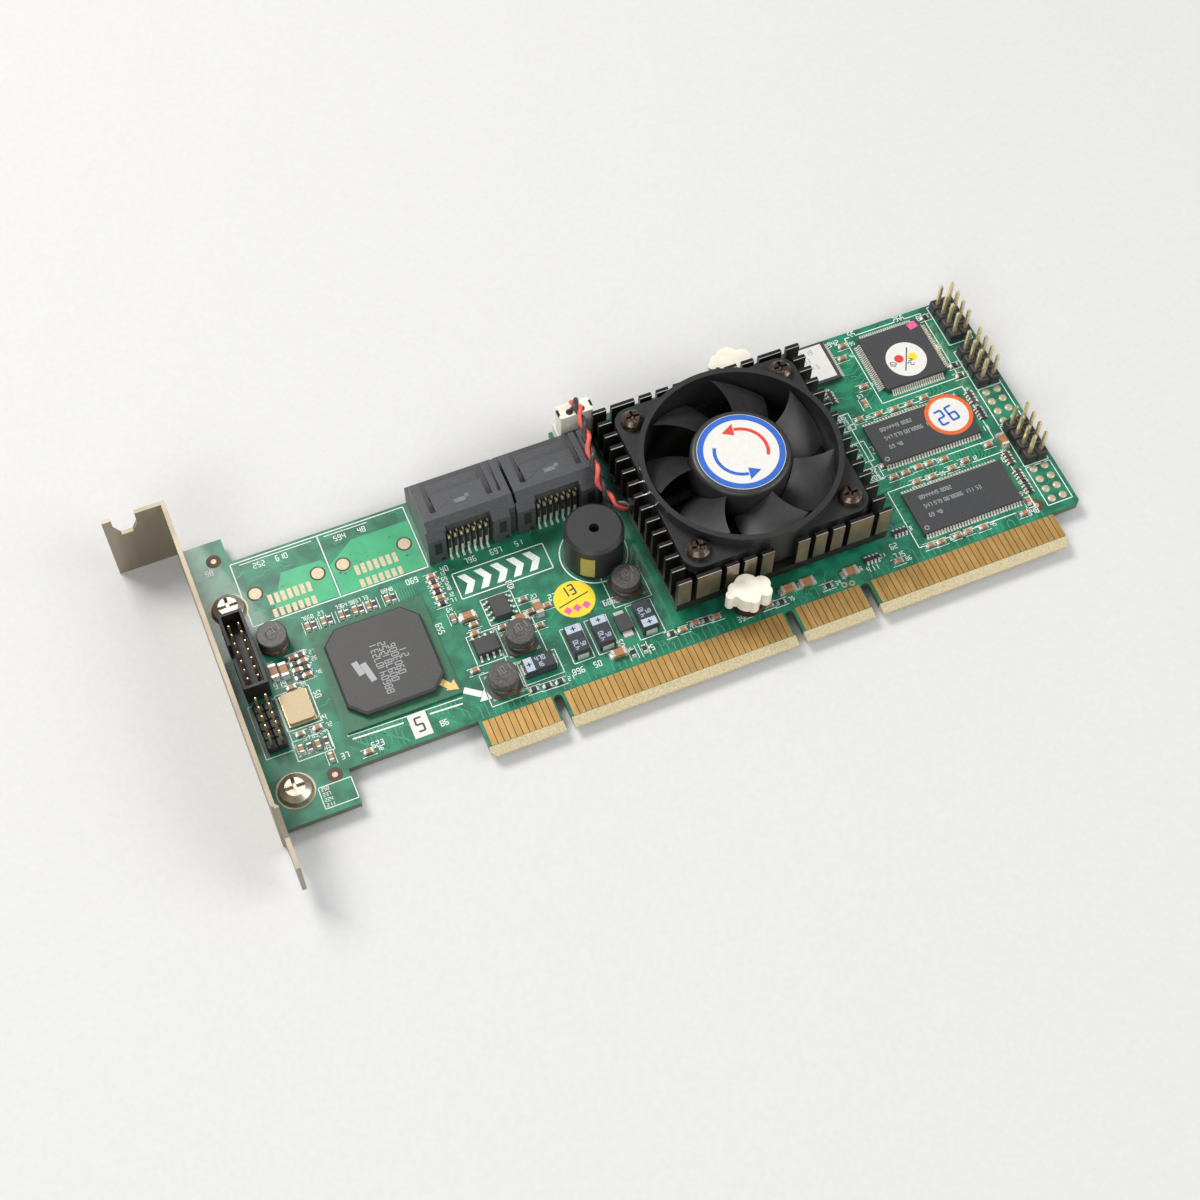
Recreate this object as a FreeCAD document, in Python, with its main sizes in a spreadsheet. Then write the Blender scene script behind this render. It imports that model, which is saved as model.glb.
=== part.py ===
import FreeCAD, Part
import os
from math import cos, pi, sin, tan

import Sketcher
from FreeCAD import Placement, Rotation, Vector

# A low-profile storage controller card. The frame's origin is the corner of the edge connector
# nearest the mounting bracket, on the component face. +X runs along the card away from the
# bracket, +Y across it from the edge connector to the far edge, +Z out of the component face.

SIZES = {
    # circuit board
    "board_length": 169.5, "connector_inset": 40.5, "board_thickness": 1.57, "board_height": 64.4,
    "tab_width": 7.8, "recess_width": 69.2, "recess_depth": 5.8, "far_corner_drop": 0.9,
    "leg_width": 14.9, "leg_bottom": 0.4, "tongue_length": 122.3, "tongue_height": 7.8,
    "corner_cut": 0.8, "key_width": 1.75, "key_depth": 7.4, "key_near_x": 15.75,
    "key_middle_x": 64.0, "key_far_x": 80.35, "bevel_length": 2.0, "bevel_depth": 0.45,
    # gold contacts of the edge connector
    "finger_pitch": 1.27, "finger_width": 1.0, "finger_foot": 2.09, "finger_top": 7.46,
    "finger_thickness": 0.05, "far_group_shift": 2.49,
    # mounting bracket and its screws
    "sheet_thickness": 0.86, "bracket_gap": 0.2, "bracket_top": 66.9, "bracket_span": 79.2,
    "bracket_width": 18.42, "bracket_below": 3.0, "flange_length": 11.6, "notch_width": 4.6,
    "notch_depth": 5.5, "notch_inset": 4.1, "joggle": 0.5, "joggle_bottom": -1.6,
    "taper_run": 4.2, "taper_start": 10.4, "ear_length": 7.6, "ear_width": 6.4,
    "screw_inset": 4.5, "screw_low_y": 7.2, "screw_spacing": 41.0, "screw_head_radius": 3.45,
    "screw_head_height": 1.9, "screw_shank_radius": 1.45, "screw_clearance": 0.15,
    # storage controller chip
    "controller_x": -12.1, "controller_y": 25.9, "controller_side": 23.0,
    "substrate_height": 0.56, "cap_side": 19.5, "cap_height": 1.64, "cap_corner": 3.0,
    # headers by the bracket
    "shroud_x": -36.3, "shroud_y": 36.1, "shroud_width": 4.8, "shroud_length": 17.0,
    "shroud_height": 5.8, "shroud_wall": 0.6, "shroud_floor": 1.6, "shroud_key": 3.0,
    "shroud_key_depth": 0.4, "fine_pitch": 2.0,
    "service_y": 21.0, "service_height": 2.0, "fine_pin_width": 0.5, "fine_pin_height": 6.2,
    # small round inductor and oscillator
    "choke_x": -30.2, "choke_y": 38.0, "choke_radius": 3.0, "choke_height": 4.0,
    "oscillator_x": -30.35, "oscillator_y": 23.15, "oscillator_width": 5.1,
    "oscillator_length": 6.5, "oscillator_height": 1.2,
    # drive sockets
    "sata_x": 12.9, "sata_pitch": 18.6, "sata_width": 18.0, "sata_back": 44.0,
    "sata_slope": 2.0, "sata_height": 11.2, "sata_upper_front": 54.8,
    "sata_lower_front": 58.3, "sata_split": 5.9, "sata_wall": 0.9, "sata_cavity_depth": 6.6,
    "sata_blade_width": 10.4, "sata_blade_height": 1.2, "sata_window": 1.6,
    "sata_contact_pitch": 1.27,
    # buzzer
    "buzzer_x": 34.1, "buzzer_y": 33.6, "buzzer_radius": 5.9, "buzzer_height": 9.6,
    "buzzer_hole": 1.0, "buzzer_edge": 0.6,
    # power parts
    "choke_side": 6.4, "choke_base_height": 0.8, "core_radius": 2.75, "core_height": 3.6,
    "tantalum_length": 6.4, "tantalum_width": 3.5, "tantalum_height": 2.6,
    "small_outline_length": 4.9, "small_outline_width": 3.8, "small_outline_height": 1.5,
    "diode_x": 33.4, "diode_y": 16.7, "diode_width": 2.9, "diode_length": 3.5,
    "diode_height": 1.1, "choke_lid": 0.8,
    # small parts
    "capacitor_length": 3.0, "capacitor_width": 1.5, "capacitor_height": 1.2,
    "resistor_length": 1.6, "resistor_width": 0.8, "resistor_height": 0.5,
    # fan plug
    "plug_x": 40.9, "plug_y": 60.9, "plug_width": 7.3, "plug_depth": 4.4, "plug_height": 7.4,
    "plug_seat": 3.2,
    # processor and heatsink
    "sink_x": 65.7, "sink_y": 35.5, "sink_width": 45.0, "sink_depth": 42.9,
    "processor_side": 31.0, "processor_height": 2.3, "thermal_pad": 0.3,
    "base_thickness": 2.2, "fin_height": 7.8, "fin_thickness": 0.9, "fin_pitch": 3.0,
    "slot_width": 1.1, "slot_inner": 1.9, "slot_pitch": 3.7, "slot_outer": 19.1,
    "lug_offset_x": 8.6, "lug_offset_y": 24.0, "lug_radius": 4.0, "lug_hole": 1.6,
    "pin_stem": 1.45, "pin_cap_height": 3.8, "cap_scale": 1.0,
    # fan
    "fan_side": 40.0, "ear_trim": 1.0, "fan_corner": 3.5, "fan_height": 10.0, "fan_wall": 1.1,
    "fan_floor_gap": 0.8, "fan_gap": 0.5, "ear_drop": 4.6, "ear_thickness": 2.6,
    "ear_hole_inset": 3.5, "fan_screw_radius": 1.35, "fan_head_radius": 2.5,
    "fan_head_height": 1.9, "motor_plate_radius": 8.6, "motor_plate_height": 1.0,
    "strut_width": 1.6, "hub_radius": 10.5, "hub_wall": 0.9, "hub_lift": 1.6,
    "blade_tip_gap": 0.6, "blade_thickness": 0.8, "blade_root": 8.4, "blade_tip": 11.5,
    "blade_top_gap": 0.7, "shaft_radius": 1.0, "shaft_fit": 0.05, "bearing_radius": 2.6,
    "stator_radius": 7.6, "stator_height": 4.2, "label_radius": 9.3, "label_thickness": 0.12,
    # chips on the far half
    "memory_x": 107.15, "memory_low_y": 17.5, "memory_spacing": 17.55,
    "memory_length": 22.2, "memory_width": 10.2, "memory_height": 1.1, "memory_pitch": 0.65,
    "logic_x": 111.8, "logic_y": 53.3, "logic_side": 14.0, "logic_height": 1.4,
    "logic_pitch": 0.8, "flash_end": 97.9, "flash_y": 58.0, "flash_length": 18.4,
    "flash_width": 10.0, "flash_height": 1.1, "flash_pitch": 0.5, "chip_lift": 0.1,
    # pin headers at the far end
    "header_x": 125.35, "header_pitch": 2.54, "header_base": 2.5, "header_pin": 0.64,
    "header_pin_top": 8.5, "header_top_y": 57.8, "header_middle_y": 45.25,
    "header_low_y": 24.9, "tail_length": 0.9,
    # twisted lead of the fan
    "lead_diameter": 2.0,
}

doc = FreeCAD.newDocument("storage_controller_card")
sheet = doc.addObject("Spreadsheet::Sheet", "Sizes")
for row, (alias, number) in enumerate(SIZES.items(), start=1):
    sheet.set("A%d" % row, alias)
    sheet.set("B%d" % row, str(number))
    sheet.setAlias("B%d" % row, alias)
doc.recompute()


class Term:
    """A size or a sum of sizes: its value now, and the expression that keeps it bound to the sheet."""

    def __init__(self, value, text):
        self.value = value
        self.text = text

    def __add__(self, other):
        other = term(other)
        return Term(self.value + other.value, "(%s + %s)" % (self.text, other.text))

    def __sub__(self, other):
        other = term(other)
        return Term(self.value - other.value, "(%s - %s)" % (self.text, other.text))

    def __mul__(self, other):
        other = term(other)
        return Term(self.value * other.value, "(%s * %s)" % (self.text, other.text))

    def __truediv__(self, other):
        other = term(other)
        return Term(self.value / other.value, "(%s / %s)" % (self.text, other.text))

    def __neg__(self):
        return Term(-self.value, "(0 - %s)" % self.text)

    __radd__ = __add__
    __rmul__ = __mul__

    def __rsub__(self, other):
        return term(other) - self


def term(thing):
    if isinstance(thing, Term):
        return thing
    return Term(float(thing), "%.6f" % thing)


class Sheet:
    """Reads any size of the sheet as a Term."""

    def __getattr__(self, alias):
        return Term(float(sheet.get(alias)), "Sizes." + alias)


S = Sheet()
nodes = {}


# ---------------------------------------------------------------- helpers

def bind(thing, path, size):
    """Bind one property of an object to the sheet."""
    thing.setExpression(path, term(size).text)


def keep(node, thing):
    """Name an object as one sub-part of the card."""
    thing.Label = node
    nodes[node] = thing
    return thing


def place(thing, x, y, z):
    for axis, size in zip("xyz", (x, y, z)):
        bind(thing, ".Placement.Base." + axis, size)
    thing.Placement.Base = Vector(term(x).value, term(y).value, term(z).value)


def box(name, x, y, z, length, width, height):
    """A block from its low corner."""
    block = doc.addObject("Part::Box", name)
    for path, size in (("Length", length), ("Width", width), ("Height", height)):
        bind(block, path, size)
    place(block, x, y, z)
    return block


def centred_box(name, x, y, z, length, width, height):
    """A block centred on x and y that stands on z."""
    return box(name, x - length / 2, y - width / 2, z, length, width, height)


def cylinder(name, x, y, z, radius, height):
    post = doc.addObject("Part::Cylinder", name)
    bind(post, "Radius", radius)
    bind(post, "Height", height)
    place(post, x, y, z)
    return post


def fuse(name, pieces):
    joined = doc.addObject("Part::MultiFuse", name)
    joined.Shapes = pieces
    return joined


def cut(name, base, tool):
    result = doc.addObject("Part::Cut", name)
    result.Base = base
    result.Tool = tool
    return result


def feature(node, solids):
    """Many like solids that are worked out by a loop, as one sub-part."""
    piece = doc.addObject("Part::Feature", node + "_set")
    piece.Shape = solids[0] if len(solids) == 1 else Part.makeCompound(solids)
    piece.Placement = Placement()
    return keep(node, piece)


def new_body(node):
    body = doc.addObject("PartDesign::Body", node + "_body")
    return keep(node, body)


def sketch_on(body, plane, offset=0):
    """A sketch on one of the body's origin planes, moved along the plane's normal."""
    sketch = body.newObject("Sketcher::SketchObject", body.Name + "_sketch")
    base = [item for item in body.Origin.OriginFeatures if item.Role == plane][0]
    sketch.AttachmentSupport = [(base, "")]
    sketch.MapMode = "FlatFace"
    bind(sketch, ".AttachmentOffset.Base.z", offset)
    sketch.AttachmentOffset = Placement(Vector(0, 0, term(offset).value), Rotation())
    return sketch


def fix_point(sketch, index, position, x, y):
    """Tie a sketch point to the sheet, along each axis of the sketch."""
    for kind, size, axis in (("DistanceX", term(x), -2), ("DistanceY", term(y), -1)):
        if size.text == term(0).text:
            sketch.addConstraint(Sketcher.Constraint("PointOnObject", index, position, axis))
            continue
        rule = sketch.addConstraint(
            Sketcher.Constraint(kind, -1, 1, index, position, size.value))
        sketch.setExpression("Constraints[%d]" % rule, size.text)


def outline(sketch, points):
    """A closed outline of straight lines through the points."""
    corners = [Vector(term(x).value, term(y).value, 0) for x, y in points]
    first = sketch.GeometryCount
    for here, there in zip(corners, corners[1:] + corners[:1]):
        sketch.addGeometry(Part.LineSegment(here, there), False)
    for index, (x, y) in enumerate(points):
        before = first + (index - 1) % len(points)
        sketch.addConstraint(Sketcher.Constraint("Coincident", before, 2, first + index, 1))
        fix_point(sketch, first + index, 1, x, y)


def rectangle(sketch, x, y, width, height):
    """A rectangle centred on x and y."""
    left = x - width / 2
    low = y - height / 2
    outline(sketch, [(left, low), (left + width, low), (left + width, low + height), (left, low + height)])


def circle(sketch, x, y, radius):
    centre = Vector(term(x).value, term(y).value, 0)
    index = sketch.addGeometry(
        Part.Circle(centre, Vector(0, 0, 1), term(radius).value), False)
    fix_point(sketch, index, 3, x, y)
    rule = sketch.addConstraint(Sketcher.Constraint("Radius", index, term(radius).value))
    sketch.setExpression("Constraints[%d]" % rule, term(radius).text)


def pad(body, sketch, length, reversed_way=False):
    solid = body.newObject("PartDesign::Pad", body.Name + "_pad")
    solid.Profile = sketch
    bind(solid, "Length", length)
    solid.Reversed = reversed_way
    doc.recompute()
    return solid


def pocket(body, sketch, length, reversed_way=False):
    """Cut against the sketch's normal, or along it if reversed, and see that it did cut."""
    before = body.Shape.Volume
    hollow = body.newObject("PartDesign::Pocket", body.Name + "_pocket")
    hollow.Profile = sketch
    bind(hollow, "Length", length)
    hollow.Reversed = reversed_way
    doc.recompute()
    if not body.Shape.Volume < before - 1e-6:
        raise RuntimeError(hollow.Name + " cuts nothing")
    return hollow


def dress(body, kind, size, wanted):
    """Round or bevel the edges of the body that a test picks."""
    names = ["Edge%d" % (n + 1) for n, edge in enumerate(body.Shape.Edges) if wanted(edge)]
    feature_kind = {"Fillet": "Radius", "Chamfer": "Size"}
    earlier = body.Tip
    worked = body.newObject("PartDesign::" + kind, body.Name + "_" + kind.lower())
    worked.Base = (earlier, names)
    bind(worked, feature_kind[kind], size)
    doc.recompute()
    return worked


def upright(edge):
    """True for a straight edge along Z."""
    ends = [vertex.Point for vertex in edge.Vertexes]
    return len(ends) == 2 and (ends[0] - ends[1]).cross(Vector(0, 0, 1)).Length < 1e-6


def block_solid(x, y, z, length, width, height):
    """A plain block, centred on x and y, for a loop of like pieces."""
    return Part.makeBox(length, width, height, Vector(x - length / 2, y - width / 2, z))


def gull_lead(x, y, z_top, reach, width, out):
    """A lead that leaves a chip's side at z_top and steps down to the board.

    x, y is where it leaves the side, reach how far it stands out, and out the unit vector."""
    thickness = 0.15
    profile = [(0, z_top), (reach * 0.3, z_top), (reach, thickness), (reach, 0),
               (reach * 0.55, 0), (0, z_top - thickness)]
    side = Vector(-out.y, out.x, 0)
    start = Vector(x, y, 0) - side * (width / 2)
    corners = [start + out * along + Vector(0, 0, up) for along, up in profile]
    return Part.Face(Part.makePolygon(corners + corners[:1])).extrude(side * width)


# ---------------------------------------------------------------- circuit board

board_left = -S.connector_inset
board_right = S.board_length - S.connector_inset
screw_x = board_left + S.screw_inset
screw_rows = [S.screw_low_y, S.screw_low_y + S.screw_spacing]
pin_places = [(S.sink_x - S.lug_offset_x, S.sink_y - S.lug_offset_y),
              (S.sink_x + S.lug_offset_x, S.sink_y + S.lug_offset_y)]


def build_board():
    body = new_body("circuit_board")
    tab_end = board_left + S.tab_width
    recess_end = tab_end + S.recess_width
    recess_y = S.board_height - S.recess_depth
    leg_end = board_left + S.leg_width
    far_y = S.board_height - S.far_corner_drop
    small = S.corner_cut
    sketch = sketch_on(body, "XY_Plane", -S.board_thickness)
    outline(sketch, [
        (board_left, S.leg_bottom), (leg_end, S.leg_bottom), (leg_end, S.tongue_height),
        (0, S.tongue_height), (0, small), (small, 0),
        (S.tongue_length - small, 0), (S.tongue_length, small),
        (S.tongue_length, S.tongue_height), (board_right - small, S.tongue_height),
        (board_right, S.tongue_height + small), (board_right, far_y - small),
        (board_right - small, far_y), (recess_end, far_y),
        (recess_end, recess_y), (tab_end, recess_y), (tab_end, S.board_height),
        (board_left, S.board_height)])
    pad(body, sketch, S.board_thickness)
    # the three keys between the contact groups, round at the top
    keys = sketch_on(body, "XY_Plane")
    round_y = S.key_depth - S.key_width / 2
    for x in (S.key_near_x, S.key_middle_x, S.key_far_x):
        rectangle(keys, x, round_y / 2 - 0.5, S.key_width, round_y + 1)
    pocket(body, keys, S.board_thickness)
    tops = sketch_on(body, "XY_Plane")
    for x in (S.key_near_x, S.key_middle_x, S.key_far_x):
        circle(tops, x, round_y, S.key_width / 2)
    pocket(body, tops, S.board_thickness)
    # the lead-in bevel on both faces of the connector's edge
    bevel = sketch_on(body, "YZ_Plane")
    low = -S.board_thickness
    outline(bevel, [(-1, 0.5), (S.bevel_length, 0.5), (S.bevel_length, 0), (0, -S.bevel_depth),
                    (-1, -S.bevel_depth)])
    outline(bevel, [(-1, low - 0.5), (S.bevel_length, low - 0.5), (S.bevel_length, low),
                    (0, low + S.bevel_depth), (-1, low + S.bevel_depth)])
    pocket(body, bevel, S.tongue_length, True)
    # holes for the bracket's screws and the heatsink's pins
    holes = sketch_on(body, "XY_Plane")
    for y in screw_rows:
        circle(holes, screw_x, y, S.screw_shank_radius + S.screw_clearance)
    for x, y in pin_places:
        circle(holes, x, y, S.lug_hole)
    pocket(body, holes, S.board_thickness)


def finger_places():
    """The middle of each contact: four groups on one pitch, the last one moved by the far key."""
    pitch = S.finger_pitch.value
    near = list(range(1, 12)) + list(range(14, 50)) + list(range(52, 63))
    places = [pitch * number for number in near]
    places += [pitch * number + S.far_group_shift.value for number in range(63, 95)]
    return places


def build_fingers():
    width = S.finger_width.value
    length = (S.finger_top - S.finger_foot).value
    middle = (S.finger_top + S.finger_foot).value / 2
    thick = S.finger_thickness.value
    solids = []
    for low in (0, -S.board_thickness.value - thick):
        solids += [block_solid(x, middle, low, width, length, thick) for x in finger_places()]
    feature("edge_contacts", solids)


# ---------------------------------------------------------------- mounting bracket

def build_bracket():
    body = new_body("mounting_bracket")
    sheet_metal = S.sheet_thickness
    inner = board_left - S.bracket_gap
    outer = inner - sheet_metal
    end = S.bracket_top - S.bracket_span
    bend = S.joggle_bottom
    step = S.joggle
    flange = outer - S.flange_length
    side = sketch_on(body, "XY_Plane", -S.bracket_below)
    outline(side, [
        (flange, S.bracket_top), (flange, S.bracket_top - sheet_metal),
        (outer, S.bracket_top - sheet_metal), (outer, bend + step), (outer + step, bend),
        (outer + step, end), (inner + step, end), (inner + step, bend), (inner, bend + step),
        (inner, S.bracket_top)])
    pad(body, side, S.bracket_width)
    # the tongue narrows on both edges
    low = -S.bracket_below
    high = low + S.bracket_width
    start = end + S.taper_start
    narrow = sketch_on(body, "YZ_Plane", board_left + 2)
    run = S.taper_run
    outline(narrow, [(start, high), (start - run, high - run), (end - 1, high - run),
                     (end - 1, high + 1), (start, high + 1)])
    outline(narrow, [(start, low), (start - run, low + run), (end - 1, low + run),
                     (end - 1, low - 1), (start, low - 1)])
    pocket(body, narrow, sheet_metal * 4 + 2)
    # the notch for the chassis screw, open to the component side
    notch = sketch_on(body, "XZ_Plane", -S.bracket_top + sheet_metal * 2)
    notch_x = flange + S.notch_inset
    floor = high - S.notch_depth
    half = S.notch_width / 2
    outline(notch, [(notch_x - half, high + 1), (notch_x - half, floor + half),
                    (notch_x - half / 2, floor), (notch_x + half / 2, floor),
                    (notch_x + half, floor + half), (notch_x + half, high + 1)])
    pocket(body, notch, sheet_metal * 3)
    # two ears turn in under the board and take its screws
    ears = sketch_on(body, "XY_Plane", -S.board_thickness - sheet_metal)
    for y in screw_rows:
        rectangle(ears, inner + S.ear_length / 2 - sheet_metal / 2, y,
                  S.ear_length + sheet_metal, S.ear_width)
    pad(body, ears, sheet_metal)
    threads = sketch_on(body, "XY_Plane", -S.board_thickness)
    for y in screw_rows:
        circle(threads, screw_x, y, S.screw_shank_radius + 0.05)
    pocket(body, threads, sheet_metal)


def build_screw(node, x, y, seat, head_radius, head_height, shank_radius, shank_length):
    """A pan-head screw with a cross recess, turned about its own axis and set on its seat."""
    body = new_body(node)
    form = sketch_on(body, "XZ_Plane")
    outline(form, [(0, head_height), (head_radius * 0.55, head_height),
                   (head_radius * 0.88, head_height * 0.62), (head_radius, 0),
                   (shank_radius, 0), (shank_radius, -shank_length), (0, -shank_length)])
    turned = body.newObject("PartDesign::Revolution", node + "_turned")
    turned.Profile = form
    turned.ReferenceAxis = (form, ["V_Axis"])
    turned.Angle = 360
    doc.recompute()
    cross = sketch_on(body, "XY_Plane", head_height)
    arm = head_radius * 0.55
    slot = head_radius * 0.1
    outline(cross, [(arm, slot), (slot, slot), (slot, arm), (-slot, arm), (-slot, slot),
                    (-arm, slot), (-arm, -slot), (-slot, -slot), (-slot, -arm), (slot, -arm),
                    (slot, -slot), (arm, -slot)])
    pocket(body, cross, head_height * 0.55)
    place(body, x, y, seat)


# ---------------------------------------------------------------- parts by the bracket

def build_controller():
    keep("controller_substrate", centred_box(
        "substrate", S.controller_x, S.controller_y, 0, S.controller_side, S.controller_side,
        S.substrate_height))
    body = new_body("controller_cap")
    half = S.cap_side / 2
    inset = half - S.cap_corner
    sketch = sketch_on(body, "XY_Plane")
    outline(sketch, [(-inset, -half), (inset, -half), (half, -inset), (half, inset),
                     (inset, half), (-inset, half), (-half, inset), (-half, -inset)])
    pad(body, sketch, S.cap_height)
    dress(body, "Chamfer", 0.4, lambda edge: edge.BoundBox.ZMin > S.cap_height.value - 1e-6)
    place(body, S.controller_x, S.controller_y, S.substrate_height)


def pin_grid(x, y, columns, rows, pitch, width, low, high):
    """Square pins on a grid that is centred on x and y."""
    solids = []
    for column in range(columns):
        for line in range(rows):
            solids.append(block_solid(x + (column - (columns - 1) / 2) * pitch,
                                      y + (line - (rows - 1) / 2) * pitch,
                                      low, width, width, high - low))
    return solids


def build_near_headers():
    """A shrouded header of two rows of seven, and an open one of two rows of five."""
    body = new_body("battery_header_shroud")
    sketch = sketch_on(body, "XY_Plane")
    rectangle(sketch, term(0), term(0), S.shroud_width, S.shroud_length)
    pad(body, sketch, S.shroud_height)
    inside = sketch_on(body, "XY_Plane", S.shroud_height)
    rectangle(inside, term(0), term(0), S.shroud_width - S.shroud_wall * 2,
              S.shroud_length - S.shroud_wall * 2)
    pocket(body, inside, S.shroud_height - S.shroud_floor)
    key = sketch_on(body, "XY_Plane", S.shroud_height)
    rectangle(key, -S.shroud_width / 2 + S.shroud_wall / 2, term(0),
              S.shroud_wall + S.shroud_key_depth, S.shroud_key)
    pocket(body, key, S.shroud_height - S.shroud_floor)
    place(body, S.shroud_x, S.shroud_y, 0)
    top = S.fine_pin_height.value
    pitch = S.fine_pitch.value
    width = S.fine_pin_width.value
    feature("battery_header_pins", pin_grid(
        S.shroud_x.value, S.shroud_y.value, 2, 7, pitch, width, S.shroud_floor.value, top - 1.2))
    keep("service_header_base", centred_box(
        "service_base", S.shroud_x, S.service_y, 0, S.fine_pitch * 2, S.fine_pitch * 5,
        S.service_height))
    feature("service_header_pins", pin_grid(
        S.shroud_x.value, S.service_y.value, 2, 5, pitch, width, S.service_height.value, top))


def build_near_parts():
    body = new_body("choke_small")
    sketch = sketch_on(body, "XZ_Plane")
    outline(sketch, [(0, 0), (S.choke_radius, 0), (S.choke_radius, 0.7),
                     (S.choke_radius - 0.5, 0.9), (S.choke_radius - 0.5, S.choke_height - 0.9),
                     (S.choke_radius, S.choke_height - 0.7), (S.choke_radius, S.choke_height),
                     (0, S.choke_height)])
    turned = body.newObject("PartDesign::Revolution", "choke_small_turned")
    turned.Profile = sketch
    turned.ReferenceAxis = (sketch, ["V_Axis"])
    turned.Angle = 360
    doc.recompute()
    place(body, S.choke_x, S.choke_y, 0)
    body = new_body("oscillator_can")
    sketch = sketch_on(body, "XY_Plane")
    rectangle(sketch, term(0), term(0), S.oscillator_width, S.oscillator_length)
    pad(body, sketch, S.oscillator_height)
    dress(body, "Fillet", S.oscillator_width * 0.12, upright)
    place(body, S.oscillator_x, S.oscillator_y, 0)


# ---------------------------------------------------------------- drive sockets

def build_drive_socket(number):
    """Two drive sockets in one housing, the upper one set back behind the lower."""
    body = new_body("drive_socket_%d" % number)
    back = S.sata_back
    side = sketch_on(body, "YZ_Plane", -S.sata_width / 2)
    outline(side, [(back, 0), (back, S.sata_height - S.sata_slope),
                   (back + S.sata_slope, S.sata_height), (S.sata_upper_front, S.sata_height),
                   (S.sata_upper_front, S.sata_split), (S.sata_lower_front, S.sata_split),
                   (S.sata_lower_front, 0)])
    pad(body, side, S.sata_width)
    wall = S.sata_wall
    depth = S.sata_cavity_depth
    inside = S.sata_width - wall * 2
    levels = ((0, S.sata_split, S.sata_lower_front),
              (S.sata_split - wall, S.sata_height, S.sata_upper_front))
    for low, high, front in levels:
        mouth = sketch_on(body, "XZ_Plane", -front)
        middle = (term(low) + high) / 2
        height = high - low - wall * 2
        rectangle(mouth, term(0), middle, inside, height)
        pocket(body, mouth, depth, True)
        # the key blade: a flat tongue with a turned-up end, fixed to the back of the cavity
        blade = sketch_on(body, "XZ_Plane", -front + depth + 0.2)
        half = S.sata_blade_width / 2
        thick = S.sata_blade_height
        floor = middle - thick / 2
        outline(blade, [(-half, floor), (half, floor), (half, floor + thick),
                        (-half + thick, floor + thick), (-half + thick, floor + thick + 0.7),
                        (-half, floor + thick + 0.7)])
        pad(body, blade, depth - 0.8, True)
    # small windows in the back wall between the contact columns
    windows = sketch_on(body, "XZ_Plane", -back)
    for column in (-2, 0, 2):
        rectangle(windows, S.sata_contact_pitch * column * 1.5, S.sata_height * 0.5,
                  S.sata_window, S.sata_window * 1.5)
    pocket(body, windows, 0.8)
    place(body, S.sata_x + S.sata_pitch * (number - 1), 0, 0)


def build_socket_contacts(number):
    """The soldered feet of the sockets' contacts, in a row behind each housing."""
    middle = (S.sata_x + S.sata_pitch * (number - 1)).value
    back = S.sata_back.value
    rise = S.sata_height.value * 0.7
    solids = []
    for column in range(-3, 4):
        x = middle + column * S.sata_contact_pitch.value
        solids.append(block_solid(x, back - 0.1, 0, 0.4, 0.2, rise))
        solids.append(block_solid(x, back - 0.6, 0, 0.5, 0.8, 0.15))
    fused = [solids[n].fuse(solids[n + 1]).removeSplitter() for n in range(0, len(solids), 2)]
    feature("drive_socket_contacts_%d" % number, fused)


# ---------------------------------------------------------------- power parts

def build_buzzer():
    body = new_body("buzzer_case")
    sketch = sketch_on(body, "XZ_Plane")
    edge = S.buzzer_edge
    outline(sketch, [(0, 0), (S.buzzer_radius, 0), (S.buzzer_radius, S.buzzer_height - edge),
                     (S.buzzer_radius - edge, S.buzzer_height),
                     (S.buzzer_hole, S.buzzer_height), (S.buzzer_hole, S.buzzer_height - 2.2),
                     (0, S.buzzer_height - 2.2)])
    turned = body.newObject("PartDesign::Revolution", "buzzer_turned")
    turned.Profile = sketch
    turned.ReferenceAxis = (sketch, ["V_Axis"])
    turned.Angle = 360
    doc.recompute()
    place(body, S.buzzer_x, S.buzzer_y, 0)


CHOKES = [(13.6, 20.7), (7.4, 13.3), (37.0, 24.2)]
TANTALUMS = [(14.85, 14.1, 0), (23.45, 16.15, 90), (28.65, 16.15, 90), (37.65, 16.15, 90)]
SMALL_OUTLINES = [(12.65, 28.95, 90), (7.2, 22.0, 0)]


def build_choke(number, x, y):
    """A wound choke: a square base, a winding drum and a flat top."""
    lid_low = S.choke_base_height + S.core_height - S.choke_lid
    return (centred_box("choke_foot_%d" % number, term(x), term(y), 0, S.choke_side,
                        S.choke_side * 0.95, S.choke_base_height),
            cylinder("winding_%d" % number, term(x), term(y), S.choke_base_height,
                     S.core_radius, S.core_height - S.choke_lid),
            cylinder("choke_lid_%d" % number, term(x), term(y), lid_low, S.core_radius,
                     S.choke_lid))


def compound(node, pieces):
    """Like pieces that stay apart, as one sub-part."""
    group = doc.addObject("Part::Compound", node + "_group")
    group.Links = pieces
    return keep(node, group)


def turned_block(x, y, z, length, width, height, turn):
    solid = block_solid(0, 0, z, length, width, height)
    solid.Placement = Placement(Vector(x, y, 0), Rotation(Vector(0, 0, 1), turn))
    return solid


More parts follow.
